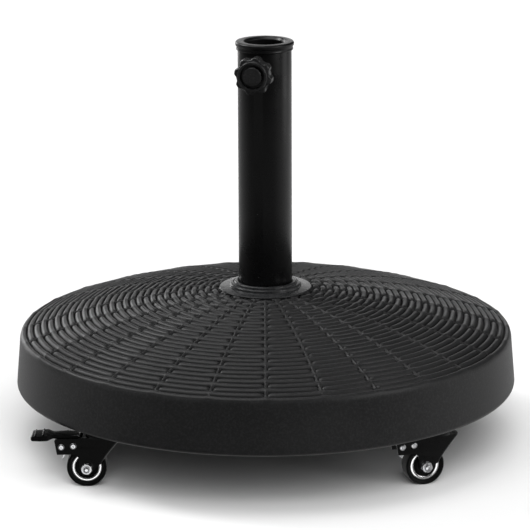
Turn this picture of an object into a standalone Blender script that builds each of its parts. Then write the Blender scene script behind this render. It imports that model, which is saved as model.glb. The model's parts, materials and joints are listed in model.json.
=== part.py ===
"""Parasol base on four braked casters: a ballasted wicker-look dome with a clamped upright tube.

Metres, +Z up. The origin is on the floor, on the axis of the upright tube. Each caster is modelled
in its own frame: its kingpin on the local Z axis, +X ahead of the swivel, so the wheel trails at -X.
"""

import math

import bmesh
import bpy
from mathutils import Matrix, Vector

# ---------------------------------------------------------------- driving dimensions
GAP = 0.0003                     # kept between pieces that touch

BASE_RADIUS = 0.2588             # widest point of the shell, low on its side
RIM_RADIUS = 0.2545              # where the side meets the dome
UNDERSIDE_Z = 0.0625             # flat underside, on top of the caster plates
RIM_Z = 0.1185
EDGE_RADIUS = 0.005              # rounded bottom edge
DOME_RISE = 0.045                # rim to crown
SHELL_WALL = 0.003
PAN_RADIUS = 0.248
PAN_BOSS_RADIUS = 0.021
RECESS_RADIUS = 0.018            # for the washer and nut under the pan
CENTRE_BORE = 0.0065             # clearance round the centre bolt
PAN_FLOOR = 0.006                # thickness of the closing pan
PAN_BOSS_Z = 0.0777              # top of the pan's centre boss, over the nut's recess
LATHE_STEPS = 48

TUBE_RADIUS = 0.0275
TUBE_WALL = 0.0015
TUBE_TOP_Z = 0.4165
TUBE_BOTTOM_Z = 0.1660
COLLAR_RADIUS = 0.0475
BEAD_RADIUS = 0.036
CAP_TOP_Z = 0.422
CAP_RADIUS = 0.0301
SKIRT_FOOT_Z = 0.4126            # lower edge of the cap outside the tube
SLEEVE_FOOT_Z = 0.4010           # lower edge of the cap inside the tube
SLEEVE_BORE = 0.0218
POLE_BORE_RADIUS = 0.0197        # takes a 38 mm pole
TUBE_STEPS = 32

CENTRE_BOLT_RADIUS = 0.005       # M10
BOLT_END_Z = 0.0640              # in the pan's recess
CENTRE_NUT_FLATS = 0.017
WASHER_THICKNESS = 0.002

KNOB_Z = 0.394
KNOB_AZIMUTH = math.radians(255.5)   # outward direction of the clamp screw, from +X
KNOB_FACE = 0.052                # knob's front, from the tube axis
KNOB_THICKNESS = 0.0155
KNOB_RADIUS = 0.0198
KNOB_LOBES = 8
LOBE_DEPTH = 0.0024
STUD_RADIUS = 0.004              # M8
STUD_TIP = 0.0260                # inner end of the stud, from the tube axis
TIP_REACH = 0.0225               # face of the nylon tip, from the tube axis
TIP_RADIUS = 0.003
BOSS_RADIUS = 0.0085
BOSS_FACE = 0.0322

CASTER_RADIUS = 0.224            # kingpins, from the tube axis
CASTERS = (                      # name, kingpin's azimuth, heading of local +X, both from +X
    ("front_left", math.radians(222.5), math.radians(0)),
    ("front_right", math.radians(319.4), math.radians(17)),
    ("rear_right", math.radians(42), math.radians(12)),
    ("rear_left", math.radians(138), math.radians(-9)),
)
PLATE_SIZE = 0.042
PLATE_THICKNESS = 0.002
SCREW_HOLE_RADIUS = 0.0023
SCREW_SPACING = 0.031
RACE_RADIUS = 0.0155
RACE_Z = 0.055                   # lower face of the plate's race
KINGPIN_RADIUS = 0.004
WHEEL_RADIUS = 0.020             # over the flats of the tread's facets
WHEEL_STEPS = 24
WHEEL_WIDTH = 0.0164
TYRE_BORE = 0.0152
TRAIL = 0.014                    # axle behind the kingpin
FORK_INNER = 0.0088              # half the clear width between the legs
FORK_SHEET = 0.0016
FORK_TOP_Z = 0.0516
BRIDGE_THICKNESS = 0.0018
FORK_FRONT = 0.0205              # front edge of the bridge, ahead of the kingpin
WEB_TOP = (FORK_FRONT, FORK_TOP_Z - 0.002)   # outer face of the sloping front web, X, Z
WEB_FOOT = (0.0080, 0.0347)
AXLE_RADIUS = 0.003
AXLE_FLATS = 0.010
LEVER_TRAVEL = math.radians(20)
LEVER_PIVOT = (-0.027, 0.0432)   # local X, Z
SPRING_PIN = (-0.039, 0.0422)
RIVET_RADIUS = 0.0021
RIVET_HEAD_RADIUS = 0.00325
BRAKE_CLEARANCE = 0.0004         # pad to tread with the lever pressed
BRAKE_ANGLE = math.radians(134)  # where the pad meets the tread, about the axle

COLOURS = {                      # linear base colour, roughness, metallic
    "resin": ((0.020, 0.020, 0.021), 0.50, 0.0),
    "concrete": ((0.35, 0.34, 0.32), 0.95, 0.0),
    "powder_coat": ((0.010, 0.010, 0.011), 0.32, 0.0),
    "gloss_plastic": ((0.008, 0.008, 0.008), 0.18, 0.0),
    "nylon": ((0.55, 0.54, 0.50), 0.55, 0.0),
    "zinc": ((0.60, 0.61, 0.62), 0.30, 1.0),
    "hub_plastic": ((0.012, 0.012, 0.012), 0.40, 0.0),
    "tyre": ((0.016, 0.016, 0.016), 0.70, 0.0),
}


# ---------------------------------------------------------------- helpers
def material(name):
    """The Principled material of that name, made once."""
    found = bpy.data.materials.get(name)
    if found:
        return found
    colour, roughness, metallic = COLOURS[name]
    made = bpy.data.materials.new(name)
    made.use_nodes = True
    shader = made.node_tree.nodes["Principled BSDF"]
    shader.inputs["Base Color"].default_value = (*colour, 1.0)
    shader.inputs["Roughness"].default_value = roughness
    shader.inputs["Metallic"].default_value = metallic
    return made


def to_mesh(bm, name, smooth_angle=35):
    """A mesh with outward faces from bm, shaded smooth up to that angle."""
    bmesh.ops.remove_doubles(bm, verts=bm.verts, dist=1e-6)
    bmesh.ops.recalc_face_normals(bm, faces=bm.faces)
    mesh = bpy.data.meshes.new(name)
    bm.to_mesh(mesh)
    bm.free()
    mesh.shade_smooth()
    mesh.set_sharp_from_angle(angle=math.radians(smooth_angle))
    return mesh


def add(name, mesh, material_name, parent=None, matrix=None):
    """An object of that mesh in the scene, with its own material slot."""
    made = bpy.data.objects.new(name, mesh)
    bpy.context.scene.collection.objects.link(made)
    if not mesh.materials:
        mesh.materials.append(material(material_name))
    made.parent = parent
    made.matrix_local = matrix or Matrix.Identity(4)
    return made


def empty(name, location, angle=0.0, parent=None):
    """A guide on a joint's axis, turned about Z."""
    made = bpy.data.objects.new(name, None)
    bpy.context.scene.collection.objects.link(made)
    made.parent = parent
    made.matrix_local = Matrix.Translation(location) @ Matrix.Rotation(angle, 4, "Z")
    return made


def turned(profile, steps, axis="Z", centre=(0, 0, 0)):
    """A solid turned from (radius, height) points about an axis; a flat of the facets faces down."""
    bm = bmesh.new()
    points = [bm.verts.new((radius, 0, height)) for radius, height in profile]
    open_ends = profile[0][0] < 1e-9 and profile[-1][0] < 1e-9
    count = len(points) - 1 if open_ends else len(points)
    edges = [bm.edges.new((points[i], points[(i + 1) % len(points)])) for i in range(count)]
    bmesh.ops.rotate(bm, verts=points, matrix=Matrix.Rotation(math.pi / steps, 3, "Z"))
    bmesh.ops.spin(bm, geom=points + edges, cent=(0, 0, 0), axis=(0, 0, 1),
                   angle=math.tau, steps=steps, use_merge=True)
    turn = {"Z": Matrix.Identity(3), "Y": Matrix.Rotation(-math.pi / 2, 3, "X")}[axis]
    bmesh.ops.transform(bm, matrix=Matrix.Translation(centre) @ turn.to_4x4(), verts=bm.verts)
    return bm


def flat_radius(radius, steps):
    """Corner radius of a polygon whose flats are at radius."""
    return radius / math.cos(math.pi / steps)


def prism(outline, low, high, axis="Z"):
    """A solid from an outline, extruded between two heights; axis Y takes (x, z) points."""
    bm = bmesh.new()
    if axis == "Z":
        points = [(x, y, low) for x, y in outline]
        push = (0, 0, high - low)
    else:
        points = [(x, low, z) for x, z in outline]
        push = (0, high - low, 0)
    face = bm.faces.new([bm.verts.new(p) for p in points])
    grown = bmesh.ops.extrude_face_region(bm, geom=[face])
    moved = [g for g in grown["geom"] if isinstance(g, bmesh.types.BMVert)]
    bmesh.ops.translate(bm, verts=moved, vec=push)
    return bm


def arc(centre, radius, start, end, count):
    """Points on an arc, angles in degrees."""
    angles = [math.radians(start + (end - start) * i / (count - 1)) for i in range(count)]
    return [(centre[0] + radius * math.cos(a), centre[1] + radius * math.sin(a)) for a in angles]


def rounded_box(size_x, size_y, radius, corner_points=3):
    """Outline of a rectangle with round corners."""
    x, y = size_x / 2 - radius, size_y / 2 - radius
    corners = ((x, y, 0), (-x, y, 90), (-x, -y, 180), (x, -y, 270))
    points = []
    for cx, cy, start in corners:
        points += arc((cx, cy), radius, start, start + 90, corner_points)
    return points


def combined(base, others, operation, name, smooth_angle=35):
    """The mesh of base after exact Booleans with each of the other shapes."""
    body = bpy.data.objects.new(name, to_mesh(base, name))
    bpy.context.scene.collection.objects.link(body)
    cutters = []
    for bm in others:
        cutter = bpy.data.objects.new(name + "_tool", to_mesh(bm, name + "_tool"))
        cutter.hide_render = True
        cutter.display_type = "WIRE"
        bpy.context.scene.collection.objects.link(cutter)
        cutters.append(cutter)
        change = body.modifiers.new("change", "BOOLEAN")
        change.operation = operation
        change.solver = "EXACT"
        change.object = cutter
    depsgraph = bpy.context.evaluated_depsgraph_get()
    mesh = bpy.data.meshes.new_from_object(body.evaluated_get(depsgraph))
    for spent in [body, *cutters]:
        bpy.data.objects.remove(spent)
    mesh.name = name
    bm = bmesh.new()
    bm.from_mesh(mesh)
    return to_mesh(bm, name, smooth_angle)


def mesh_to_bm(mesh):
    """An editable copy of a mesh."""
    bm = bmesh.new()
    bm.from_mesh(mesh)
    return bm


def dome_z(radius):
    """Height of the dome's surface at a radius."""
    share = (radius / RIM_RADIUS) ** 2
    return RIM_Z + (DOME_RISE - 0.003) * (1 - share) + 0.003 * (1 - share ** 2)


# ---------------------------------------------------------------- ballast block
def roof(drop, outermost):
    """Points on the dome's surface lowered by drop, from the rim to the bolt's bore."""
    return [(r, dome_z(r) - drop) for r in (outermost, 0.17, 0.09, CENTRE_BORE)]


def base_shell():
    """Moulded shell: dome, side and rounded bottom edge, open below."""
    edge_x = BASE_RADIUS - EDGE_RADIUS
    edge = arc((edge_x, UNDERSIDE_Z + EDGE_RADIUS), EDGE_RADIUS, 0, -70, 4)
    outer = [(r, dome_z(r)) for r in (CENTRE_BORE, COLLAR_RADIUS, 0.105, 0.160, 0.210)]
    rim = [(0.248, dome_z(0.248) - 0.0005), (RIM_RADIUS, RIM_Z - 0.004)]
    inside = [(PAN_RADIUS + 0.0005, edge[-1][1]), (PAN_RADIUS + 0.0005, 0.0694),
              (0.2560, 0.0760), (0.2515, 0.1105)]
    return turned(outer + rim + edge + inside + roof(SHELL_WALL, 0.2430), LATHE_STEPS)


def concrete_fill():
    """Cast ballast that fills the shell, with a bore for the centre bolt."""
    floor = UNDERSIDE_Z + PAN_FLOOR + GAP
    boss = PAN_BOSS_RADIUS + GAP
    side = [(CENTRE_BORE, PAN_BOSS_Z + GAP), (boss, PAN_BOSS_Z + GAP), (boss, floor),
            (PAN_RADIUS, floor), (PAN_RADIUS, 0.0698), (0.2554, 0.0763), (0.2509, 0.1103)]
    return turned(side + roof(SHELL_WALL + GAP + 0.0002, 0.2425), LATHE_STEPS)


def bottom_pan():
    """Closing pan that carries the casters, with a centre boss over the nut's recess."""
    floor = UNDERSIDE_Z + PAN_FLOOR
    recess_roof = PAN_BOSS_Z - 0.0017
    profile = [
        (CENTRE_BORE, PAN_BOSS_Z), (CENTRE_BORE, recess_roof), (RECESS_RADIUS, recess_roof),
        (RECESS_RADIUS, UNDERSIDE_Z), (PAN_RADIUS - 0.0040, UNDERSIDE_Z),
        (PAN_RADIUS, UNDERSIDE_Z + 0.0030), (PAN_RADIUS, floor), (PAN_BOSS_RADIUS, floor),
        (PAN_BOSS_RADIUS, PAN_BOSS_Z),
    ]
    return turned(profile, LATHE_STEPS)


# ---------------------------------------------------------------- upright
def flange_collar():
    """Steel collar: a flat ring on the dome, a rounded bead and a seat under the tube."""
    base = dome_z(COLLAR_RADIUS)
    sleeve = flat_radius(TUBE_RADIUS + GAP, TUBE_STEPS)
    bead = arc((BEAD_RADIUS - 0.0035, base + 0.0045), 0.0035, -20, 150, 5)
    seat = TUBE_BOTTOM_Z - GAP
    profile = [(CENTRE_BORE, seat), (CENTRE_BORE, dome_z(CENTRE_BORE) + GAP),
               (COLLAR_RADIUS, base + GAP), (COLLAR_RADIUS, base + 0.0018),
               (COLLAR_RADIUS - 0.0010, base + 0.0024), (BEAD_RADIUS + 0.0012, base + 0.0028)]
    profile += bead + [(sleeve, base + 0.0060), (sleeve, seat)]
    return turned(profile, TUBE_STEPS)


def upright_tube():
    """Round steel tube with the hole for the clamp screw near its top."""
    inner = TUBE_RADIUS - TUBE_WALL
    wall = turned([(inner, TUBE_TOP_Z), (TUBE_RADIUS, TUBE_TOP_Z), (TUBE_RADIUS, TUBE_BOTTOM_Z),
                   (inner, TUBE_BOTTOM_Z)], TUBE_STEPS)
    room = STUD_RADIUS + 2 * GAP
    hole = along_screw(turned([(0, 0.035), (room, 0.035), (room, 0.015), (0, 0.015)], 16))
    return combined(wall, [hole], "DIFFERENCE", "upright_tube", 30)


def tube_foot_plate():
    """Disc welded in the foot of the tube, bored for the centre bolt."""
    rim = TUBE_RADIUS - TUBE_WALL - GAP
    low, high = TUBE_BOTTOM_Z + 0.0002, TUBE_BOTTOM_Z + 0.0052
    return turned([(0.0055, high), (rim, high), (rim, low), (0.0055, low)], TUBE_STEPS)


def top_cap():
    """Moulded cap: a lip over the tube's end, a skirt outside it and a sleeve inside it."""
    over = TUBE_TOP_Z + GAP
    skirt_in = flat_radius(TUBE_RADIUS + GAP, TUBE_STEPS)
    sleeve_out = TUBE_RADIUS - TUBE_WALL - 0.0005
    profile = [
        (POLE_BORE_RADIUS + 0.0018, CAP_TOP_Z), (CAP_RADIUS - 0.0012, CAP_TOP_Z),
        (CAP_RADIUS, CAP_TOP_Z - 0.0014), (CAP_RADIUS, CAP_TOP_Z - 0.0042),
        (0.0290, CAP_TOP_Z - 0.0052), (0.0288, SKIRT_FOOT_Z), (skirt_in, SKIRT_FOOT_Z),
        (skirt_in, over), (sleeve_out, over), (sleeve_out, SLEEVE_FOOT_Z),
        (SLEEVE_BORE, SLEEVE_FOOT_Z), (SLEEVE_BORE, 0.4120),
        (POLE_BORE_RADIUS, 0.4140), (POLE_BORE_RADIUS, CAP_TOP_Z - 0.0020),
    ]
    return turned(profile, TUBE_STEPS)


def hexagon(flats):
    """Corner points of a hexagon with that size over its flats."""
    corner = flats / 2 / math.cos(math.pi / 6)
    return [(corner * math.cos(math.radians(60 * i)), corner * math.sin(math.radians(60 * i)))
            for i in range(6)]


def centre_bolt():
    """M10 bolt from the foot plate down through the ballast."""
    seat = TUBE_BOTTOM_Z + 0.0052 + GAP
    head = prism(hexagon(CENTRE_NUT_FLATS), seat, seat + 0.0064)
    shank = turned([(0, seat + 0.001), (CENTRE_BOLT_RADIUS, seat + 0.001),
                    (CENTRE_BOLT_RADIUS, BOLT_END_Z + 0.001),
                    (CENTRE_BOLT_RADIUS - 0.001, BOLT_END_Z), (0, BOLT_END_Z)], 16)
    return combined(head, [shank], "UNION", "centre_bolt")


def bored_hexagon(flats, bore, low, high, name):
    """Hexagon nut with a clear bore."""
    hole = turned([(0, high + 0.001), (bore, high + 0.001), (bore, low - 0.001),
                   (0, low - 0.001)], 16)
    return combined(prism(hexagon(flats), low, high), [hole], "DIFFERENCE", name)


def centre_washer():
    """Wide washer in the pan's recess."""
    top = PAN_BOSS_Z - 0.0017 - GAP
    low = top - WASHER_THICKNESS
    return turned([(0.0056, top), (0.0150, top), (0.0150, low), (0.0056, low)], 20)


# ---------------------------------------------------------------- clamp screw and knob
def along_screw(bm):
    """Turns a shape made about Z into the clamp screw's frame: Z becomes outward distance."""
    turn = Matrix.Rotation(KNOB_AZIMUTH, 4, "Z") @ Matrix.Rotation(math.pi / 2, 4, "Y")
    bmesh.ops.transform(bm, matrix=Matrix.Translation((0, 0, KNOB_Z)) @ turn, verts=bm.verts)
    return bm


def clamp_boss():
    """Round boss welded on the tube, threaded for the stud."""
    bore = flat_radius(STUD_RADIUS + 0.0001, 20)
    body = along_screw(turned([(bore, BOSS_FACE), (BOSS_RADIUS - 0.0008, BOSS_FACE),
                               (BOSS_RADIUS, BOSS_FACE - 0.0008), (BOSS_RADIUS, 0.020),
                               (bore, 0.020)], 20))
    room = flat_radius(TUBE_RADIUS + GAP, TUBE_STEPS)
    tube = turned([(0, 0.43), (room, 0.43), (room, 0.36), (0, 0.36)], TUBE_STEPS)
    return combined(body, [tube], "DIFFERENCE", "clamp_boss", 30)


def lobed_ring(scale, height, per_lobe=6):
    """One ring of the knob's eight-lobed outline."""
    count = KNOB_LOBES * per_lobe
    points = []
    for i in range(count):
        angle = math.tau * i / count
        wave = abs(math.cos(KNOB_LOBES * angle / 2))
        radius = (KNOB_RADIUS - LOBE_DEPTH + LOBE_DEPTH * wave ** 0.8) * scale
        points.append((radius * math.cos(angle), radius * math.sin(angle), height))
    return points


def knob_body():
    """Lobed grip with a rounded front edge, a recess for its cap and a socket for the stud."""
    back = KNOB_FACE - KNOB_THICKNESS
    rings = [lobed_ring(0.90, back), lobed_ring(0.98, back + 0.0012),
             lobed_ring(1.0, back + 0.0035), lobed_ring(1.0, KNOB_FACE - 0.0050),
             lobed_ring(0.96, KNOB_FACE - 0.0026)]
    count = len(rings[0])
    round_rings = [(0.0156, KNOB_FACE - 0.0022), (0.0150, KNOB_FACE - 0.0003),
                   (0.0126, KNOB_FACE - 0.0002), (0.0120, KNOB_FACE - 0.0030),
                   (0.0101, KNOB_FACE - 0.0034), (0.0101, KNOB_FACE - 0.0042)]
    for radius, height in round_rings:
        rings.append([(radius * math.cos(math.tau * i / count),
                       radius * math.sin(math.tau * i / count), height) for i in range(count)])
    bm = bmesh.new()
    loops = [[bm.verts.new(p) for p in ring] for ring in rings]
    for lower, upper in zip(loops, loops[1:]):
        for i in range(count):
            j = (i + 1) % count
            bm.faces.new((lower[i], lower[j], upper[j], upper[i]))
    bm.faces.new(loops[0])
    bm.faces.new(loops[-1])
    socket = STUD_RADIUS + GAP
    hole = turned([(0, back + 0.0093), (socket, back + 0.0093), (socket, back - 0.001),
                   (0, back - 0.001)], 16)
    mesh = combined(bm, [hole], "DIFFERENCE", "knob_body", 40)
    shape = along_screw(mesh_to_bm(mesh))
    return to_mesh(shape, "knob_body", 40)


def knob_cap():
    """Round cap in the knob's face, slightly domed."""
    seat = KNOB_FACE - 0.0042 + GAP
    profile = [(0, KNOB_FACE + 0.0006), (0.0060, KNOB_FACE + 0.0005), (0.0088, KNOB_FACE + 0.0001),
               (0.0097, KNOB_FACE - 0.0008), (0.0097, seat), (0, seat)]
    return along_screw(turned(profile, 24))


def knob_stud():
    """M8 stud moulded into the knob, with a socket in its end for the tip."""
    back = KNOB_FACE - KNOB_THICKNESS
    socket = TIP_RADIUS * 0.6 + GAP
    outer_end = back + 0.0090
    profile = [(0, outer_end), (STUD_RADIUS, outer_end), (STUD_RADIUS, STUD_TIP + 0.0006),
               (STUD_RADIUS - 0.0006, STUD_TIP), (socket, STUD_TIP), (socket, STUD_TIP + 0.0040),
               (0, STUD_TIP + 0.0040)]
    return along_screw(turned(profile, 20))


def knob_tip():
    """Nylon tip that stays still against the pole while the stud turns in it."""
    stem = TIP_RADIUS * 0.6
    profile = [(0, STUD_TIP + 0.0035), (stem, STUD_TIP + 0.0035), (stem, STUD_TIP - GAP),
               (TIP_RADIUS, STUD_TIP - GAP), (TIP_RADIUS, TIP_REACH + 0.0006),
               (TIP_RADIUS - 0.0006, TIP_REACH), (0, TIP_REACH)]
    return along_screw(turned(profile, 16))


# ---------------------------------------------------------------- casters
def caster_plate():
    """Square plate with four screw holes and the upper race pressed down from it."""
    low, high = UNDERSIDE_Z - PLATE_THICKNESS, UNDERSIDE_Z - GAP
    plate = prism(rounded_box(PLATE_SIZE, PLATE_SIZE, 0.004, 2), low, high)
    race = turned([(0, high - 0.0005), (RACE_RADIUS - 0.001, high - 0.0005),
                   (RACE_RADIUS, RACE_Z + 0.0018), (RACE_RADIUS - 0.0008, RACE_Z), (0, RACE_Z)], 16)
    whole = combined(plate, [race], "UNION", "caster_plate")
    holes = [turned([(0, 0.07), (KINGPIN_RADIUS + GAP, 0.07), (KINGPIN_RADIUS + GAP, 0.05),
                     (0, 0.05)], 12)]
    half = SCREW_SPACING / 2
    for x in (-half, half):
        for y in (-half, half):
            shape = [(0, 0.07), (SCREW_HOLE_RADIUS, 0.07), (SCREW_HOLE_RADIUS, 0.05), (0, 0.05)]
            holes.append(turned(shape, 6, centre=(x, y, 0)))
    return combined(mesh_to_bm(whole), holes, "DIFFERENCE", "caster_plate")


def kingpin():
    """Rivet through the plate and the fork, with its head under the fork."""
    head_top = FORK_TOP_Z - BRIDGE_THICKNESS - GAP
    profile = [(0, UNDERSIDE_Z - GAP), (KINGPIN_RADIUS, UNDERSIDE_Z - GAP),
               (KINGPIN_RADIUS, head_top), (0.0065, head_top), (0.0065, head_top - 0.0014),
               (0.0048, head_top - 0.0024), (0, head_top - 0.0024)]
    return turned(profile, 12)


def leg_outline():
    """Side view of a fork leg, from the top of its front edge round by the axle."""
    top = FORK_TOP_Z
    boss = arc((-TRAIL, WHEEL_RADIUS), 0.0065, -15, -190, 7)
    return ([(FORK_FRONT, top), WEB_TOP, (0.0072, 0.0338), (0.0012, 0.0250)] + boss
            + [(-0.0226, 0.0325), (-0.0262, 0.0342), (-0.0430, 0.0342), (-0.0443, 0.0356),
               (-0.0458, 0.0485), (-0.0446, 0.0503), (-0.0230, 0.0510), (-0.0180, top)])


def fork_room():
    """Side view of the room between the legs, behind the web and under the bridge."""
    low = FORK_TOP_Z - BRIDGE_THICKNESS
    web = 0.0022                 # front to back through the slope, about one sheet thick across it
    return [(-0.06, -0.01), (0.04, -0.01), (0.04, WEB_FOOT[1]), WEB_FOOT,
            (WEB_FOOT[0] - web, WEB_FOOT[1]), (WEB_TOP[0] - web, low), (-0.0180, low),
            (-0.0180, 0.06), (-0.06, 0.06)]


def fork():
    """Pressed steel fork: two legs, a bridge over the wheel, a front web and the lower race."""
    inner, outer = FORK_INNER, FORK_INNER + FORK_SHEET
    body = prism(leg_outline(), -outer, outer, "Y")
    room = prism(fork_room(), -inner, inner, "Y")
    race = turned([(0, 0.0546), (RACE_RADIUS - 0.0010, 0.0546), (RACE_RADIUS, 0.0536),
                   (RACE_RADIUS, FORK_TOP_Z - 0.0009), (0, FORK_TOP_Z - 0.0009)], 16)
    folded = combined(body, [room], "DIFFERENCE", "fork")
    whole = combined(mesh_to_bm(folded), [race], "UNION", "fork")
    bore = flat_radius(KINGPIN_RADIUS + 0.0002, 12)
    holes = [turned([(0, 0.06), (bore, 0.06), (bore, 0.045), (0, 0.045)], 12)]
    sites = ((-TRAIL, WHEEL_RADIUS, AXLE_RADIUS), (*LEVER_PIVOT, RIVET_RADIUS),
             (*SPRING_PIN, RIVET_RADIUS))
    for x, z, radius in sites:
        hole = flat_radius(radius + 0.0002, 10)
        holes.append(turned([(0, 0.02), (hole, 0.02), (hole, -0.02), (0, -0.02)], 10, "Y",
                            (x, 0, z)))
    return combined(mesh_to_bm(whole), holes, "DIFFERENCE", "fork")


def wheel_corner():
    """Corner radius of the faceted tread."""
    return flat_radius(WHEEL_RADIUS, WHEEL_STEPS)


def tyre():
    """Solid tread ring with rounded shoulders."""
    half = WHEEL_WIDTH / 2
    crown = wheel_corner()
    side = [(TYRE_BORE, half - 0.0022), (crown - 0.0034, half), (crown - 0.0012, half),
            (crown, half - 0.0036)]
    profile = side + [(radius, -height) for radius, height in reversed(side)]
    return turned(profile, WHEEL_STEPS, "Y", (-TRAIL, 0, WHEEL_RADIUS))


def wheel_hub():
    """Moulded wheel centre with a dished face on each side."""
    half = WHEEL_WIDTH / 2
    rim = TYRE_BORE - GAP
    bore = flat_radius(AXLE_RADIUS + GAP, WHEEL_STEPS)
    side = [(bore, half), (0.0060, half), (0.0068, half - 0.0038), (0.0118, half - 0.0026),
            (rim, half - 0.0022)]
    profile = side + [(radius, -height) for radius, height in reversed(side)]
    return turned(profile, WHEEL_STEPS, "Y", (-TRAIL, 0, WHEEL_RADIUS))


def axle_bolt():
    """M6 axle bolt with its hexagon head outside the left leg."""
    face = FORK_INNER + FORK_SHEET + GAP
    head = prism(hexagon(AXLE_FLATS), face, face + 0.0032)
    end = -face - 0.0070
    shank = turned([(0, face + 0.001), (AXLE_RADIUS, face + 0.001), (AXLE_RADIUS, end + 0.0006),
                    (AXLE_RADIUS - 0.0006, end), (0, end)], 12)
    mesh = combined(head, [shank], "UNION", "axle_bolt")
    return across(mesh, "axle_bolt")


def axle_nut():
    """Lock nut on the axle bolt, outside the right leg."""
    face = FORK_INNER + FORK_SHEET + GAP
    bore = flat_radius(AXLE_RADIUS + 0.0002, 12)
    mesh = bored_hexagon(AXLE_FLATS, bore, -face - 0.0056, -face, "axle_nut")
    return across(mesh, "axle_nut")


def across(mesh, name):
    """Lays a shape made about Z along the caster's Y, at the axle."""
    bm = mesh_to_bm(mesh)
    turn = Matrix.Rotation(-math.pi / 2, 4, "X")
    place = Matrix.Translation((-TRAIL, 0, WHEEL_RADIUS))
    bmesh.ops.transform(bm, matrix=place @ turn, verts=bm.verts)
    return to_mesh(bm, name)


def rivet(site):
    """Domed rivet through both legs at (x, z)."""
    face = FORK_INNER + FORK_SHEET + GAP
    half = [(RIVET_RADIUS, face), (RIVET_HEAD_RADIUS, face),
            (RIVET_HEAD_RADIUS - 0.0006, face + 0.0010), (0, face + 0.0014)]
    profile = [(radius, -height) for radius, height in reversed(half)] + half
    return turned(profile, 10, "Y", (site[0], 0, site[1]))


def about_pivot(point, angle):
    """A (x, z) point turned about the lever's pivot, positive lifting the points behind it."""
    x, z = point[0] - LEVER_PIVOT[0], point[1] - LEVER_PIVOT[1]
    c, s = math.cos(-angle), math.sin(-angle)
    return (LEVER_PIVOT[0] + c * x - s * z, LEVER_PIVOT[1] + s * x + c * z)


def pad_toe():
    """The two ends of the brake pad's toe at rest, from where it meets the tread when pressed."""
    reach = wheel_corner() + BRAKE_CLEARANCE
    c, s = math.cos(BRAKE_ANGLE), math.sin(BRAKE_ANGLE)
    centre = (-TRAIL + reach * c, WHEEL_RADIUS + reach * s)
    half = 0.0018
    ends = [(centre[0] - half * s, centre[1] + half * c), (centre[0] + half * s, centre[1] - half * c)]
    return [about_pivot(end, LEVER_TRAVEL) for end in ends]


def lever_paddle():
    """Paddle of the brake lever: a thin tread that narrows into the arm."""
    side = [(-0.0684, 0.0529), (-0.0525, 0.0544), (-0.0470, 0.0533), (-0.0470, 0.0505),
            (-0.0520, 0.0488), (-0.0600, 0.0484), (-0.0684, 0.0488), (-0.0694, 0.0498),
            (-0.0694, 0.0519)]
    wide, narrow = 0.0112, FORK_INNER - 0.0006
    plan = [(-0.0674, -wide), (-0.0525, -wide), (-0.0480, -narrow), (-0.0460, -narrow),
            (-0.0460, narrow), (-0.0480, narrow), (-0.0525, wide), (-0.0674, wide),
            (-0.0694, wide - 0.0025), (-0.0694, 0.0025 - wide)]
    return combined(prism(side, -0.02, 0.02, "Y"), [prism(plan, 0.04, 0.06)], "INTERSECT", "paddle")


def brake_lever():
    """Lever: paddle with two grip ribs, an arm between the legs and a brake pad on its block."""
    toe_back, toe_front = pad_toe()
    half = FORK_INNER - 0.0006
    side = [(-0.0480, 0.0532), (-0.0350, 0.0538), (-0.0225, 0.0533), (-0.0205, 0.0520),
            (-0.0205, 0.0490), (-0.0225, 0.0410), toe_front, toe_back, (-0.0345, 0.0400),
            (-0.0348, 0.0480), (-0.0370, 0.0500), (-0.0480, 0.0505)]
    arm = prism(side, -half, half, "Y")
    ribs = [prism([(x, foot), (x + 0.0003, foot + 0.0020), (x + 0.0018, foot + 0.0021),
                   (x + 0.0022, foot)], -0.0098, 0.0098, "Y")
            for x, foot in ((-0.0657, 0.0522), (-0.0577, 0.0529))]
    paddle = mesh_to_bm(lever_paddle())
    whole = combined(arm, [paddle, *ribs], "UNION", "brake_lever")
    bore = flat_radius(RIVET_RADIUS + 0.0002, 10)
    hole = turned([(0, 0.02), (bore, 0.02), (bore, -0.02), (0, -0.02)], 10, "Y",
                  (LEVER_PIVOT[0], 0, LEVER_PIVOT[1]))
    return combined(mesh_to_bm(whole), [hole], "DIFFERENCE", "brake_lever")


def brake_spring():
    """Strip spring wrapped round its rivet, with a tail hanging below the fork."""
    inner, outer = RIVET_RADIUS + 0.0004, RIVET_RADIUS + 0.0010
    outside = arc(SPRING_PIN, outer, 0, 250, 7)
    inside = arc(SPRING_PIN, inner, 250, 0, 7)
    tail_x = SPRING_PIN[0] + outer
    tail = [(tail_x - 0.0006, 0.0394), (tail_x - 0.0004, 0.0330), (tail_x - 0.0022, 0.0292),
            (tail_x - 0.0016, 0.0289), (tail_x + 0.0003, 0.0328), (tail_x, 0.0396)]
    return prism(outside + inside + tail, -0.0050, 0.0050, "Y")


CASTER_PIECES = (                # name, shape, material, which guide carries it
    ("caster_plate", caster_plate, "zinc", "base"),
    ("kingpin", kingpin, "zinc", "base"),
    ("fork", fork, "powder_coat", "swivel"),
    ("axle_bolt", axle_bolt, "zinc", "swivel"),
    ("axle_nut", axle_nut, "zinc", "swivel"),
    ("lever_rivet", lambda: rivet(LEVER_PIVOT), "zinc", "swivel"),
    ("spring_rivet", lambda: rivet(SPRING_PIN), "zinc", "swivel"),
    ("brake_spring", brake_spring, "zinc", "swivel"),
    ("wheel_hub", wheel_hub, "hub_plastic", "wheel"),
    ("tyre", tyre, "tyre", "wheel"),
    ("brake_lever", brake_lever, "gloss_plastic", "lever"),
)


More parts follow.
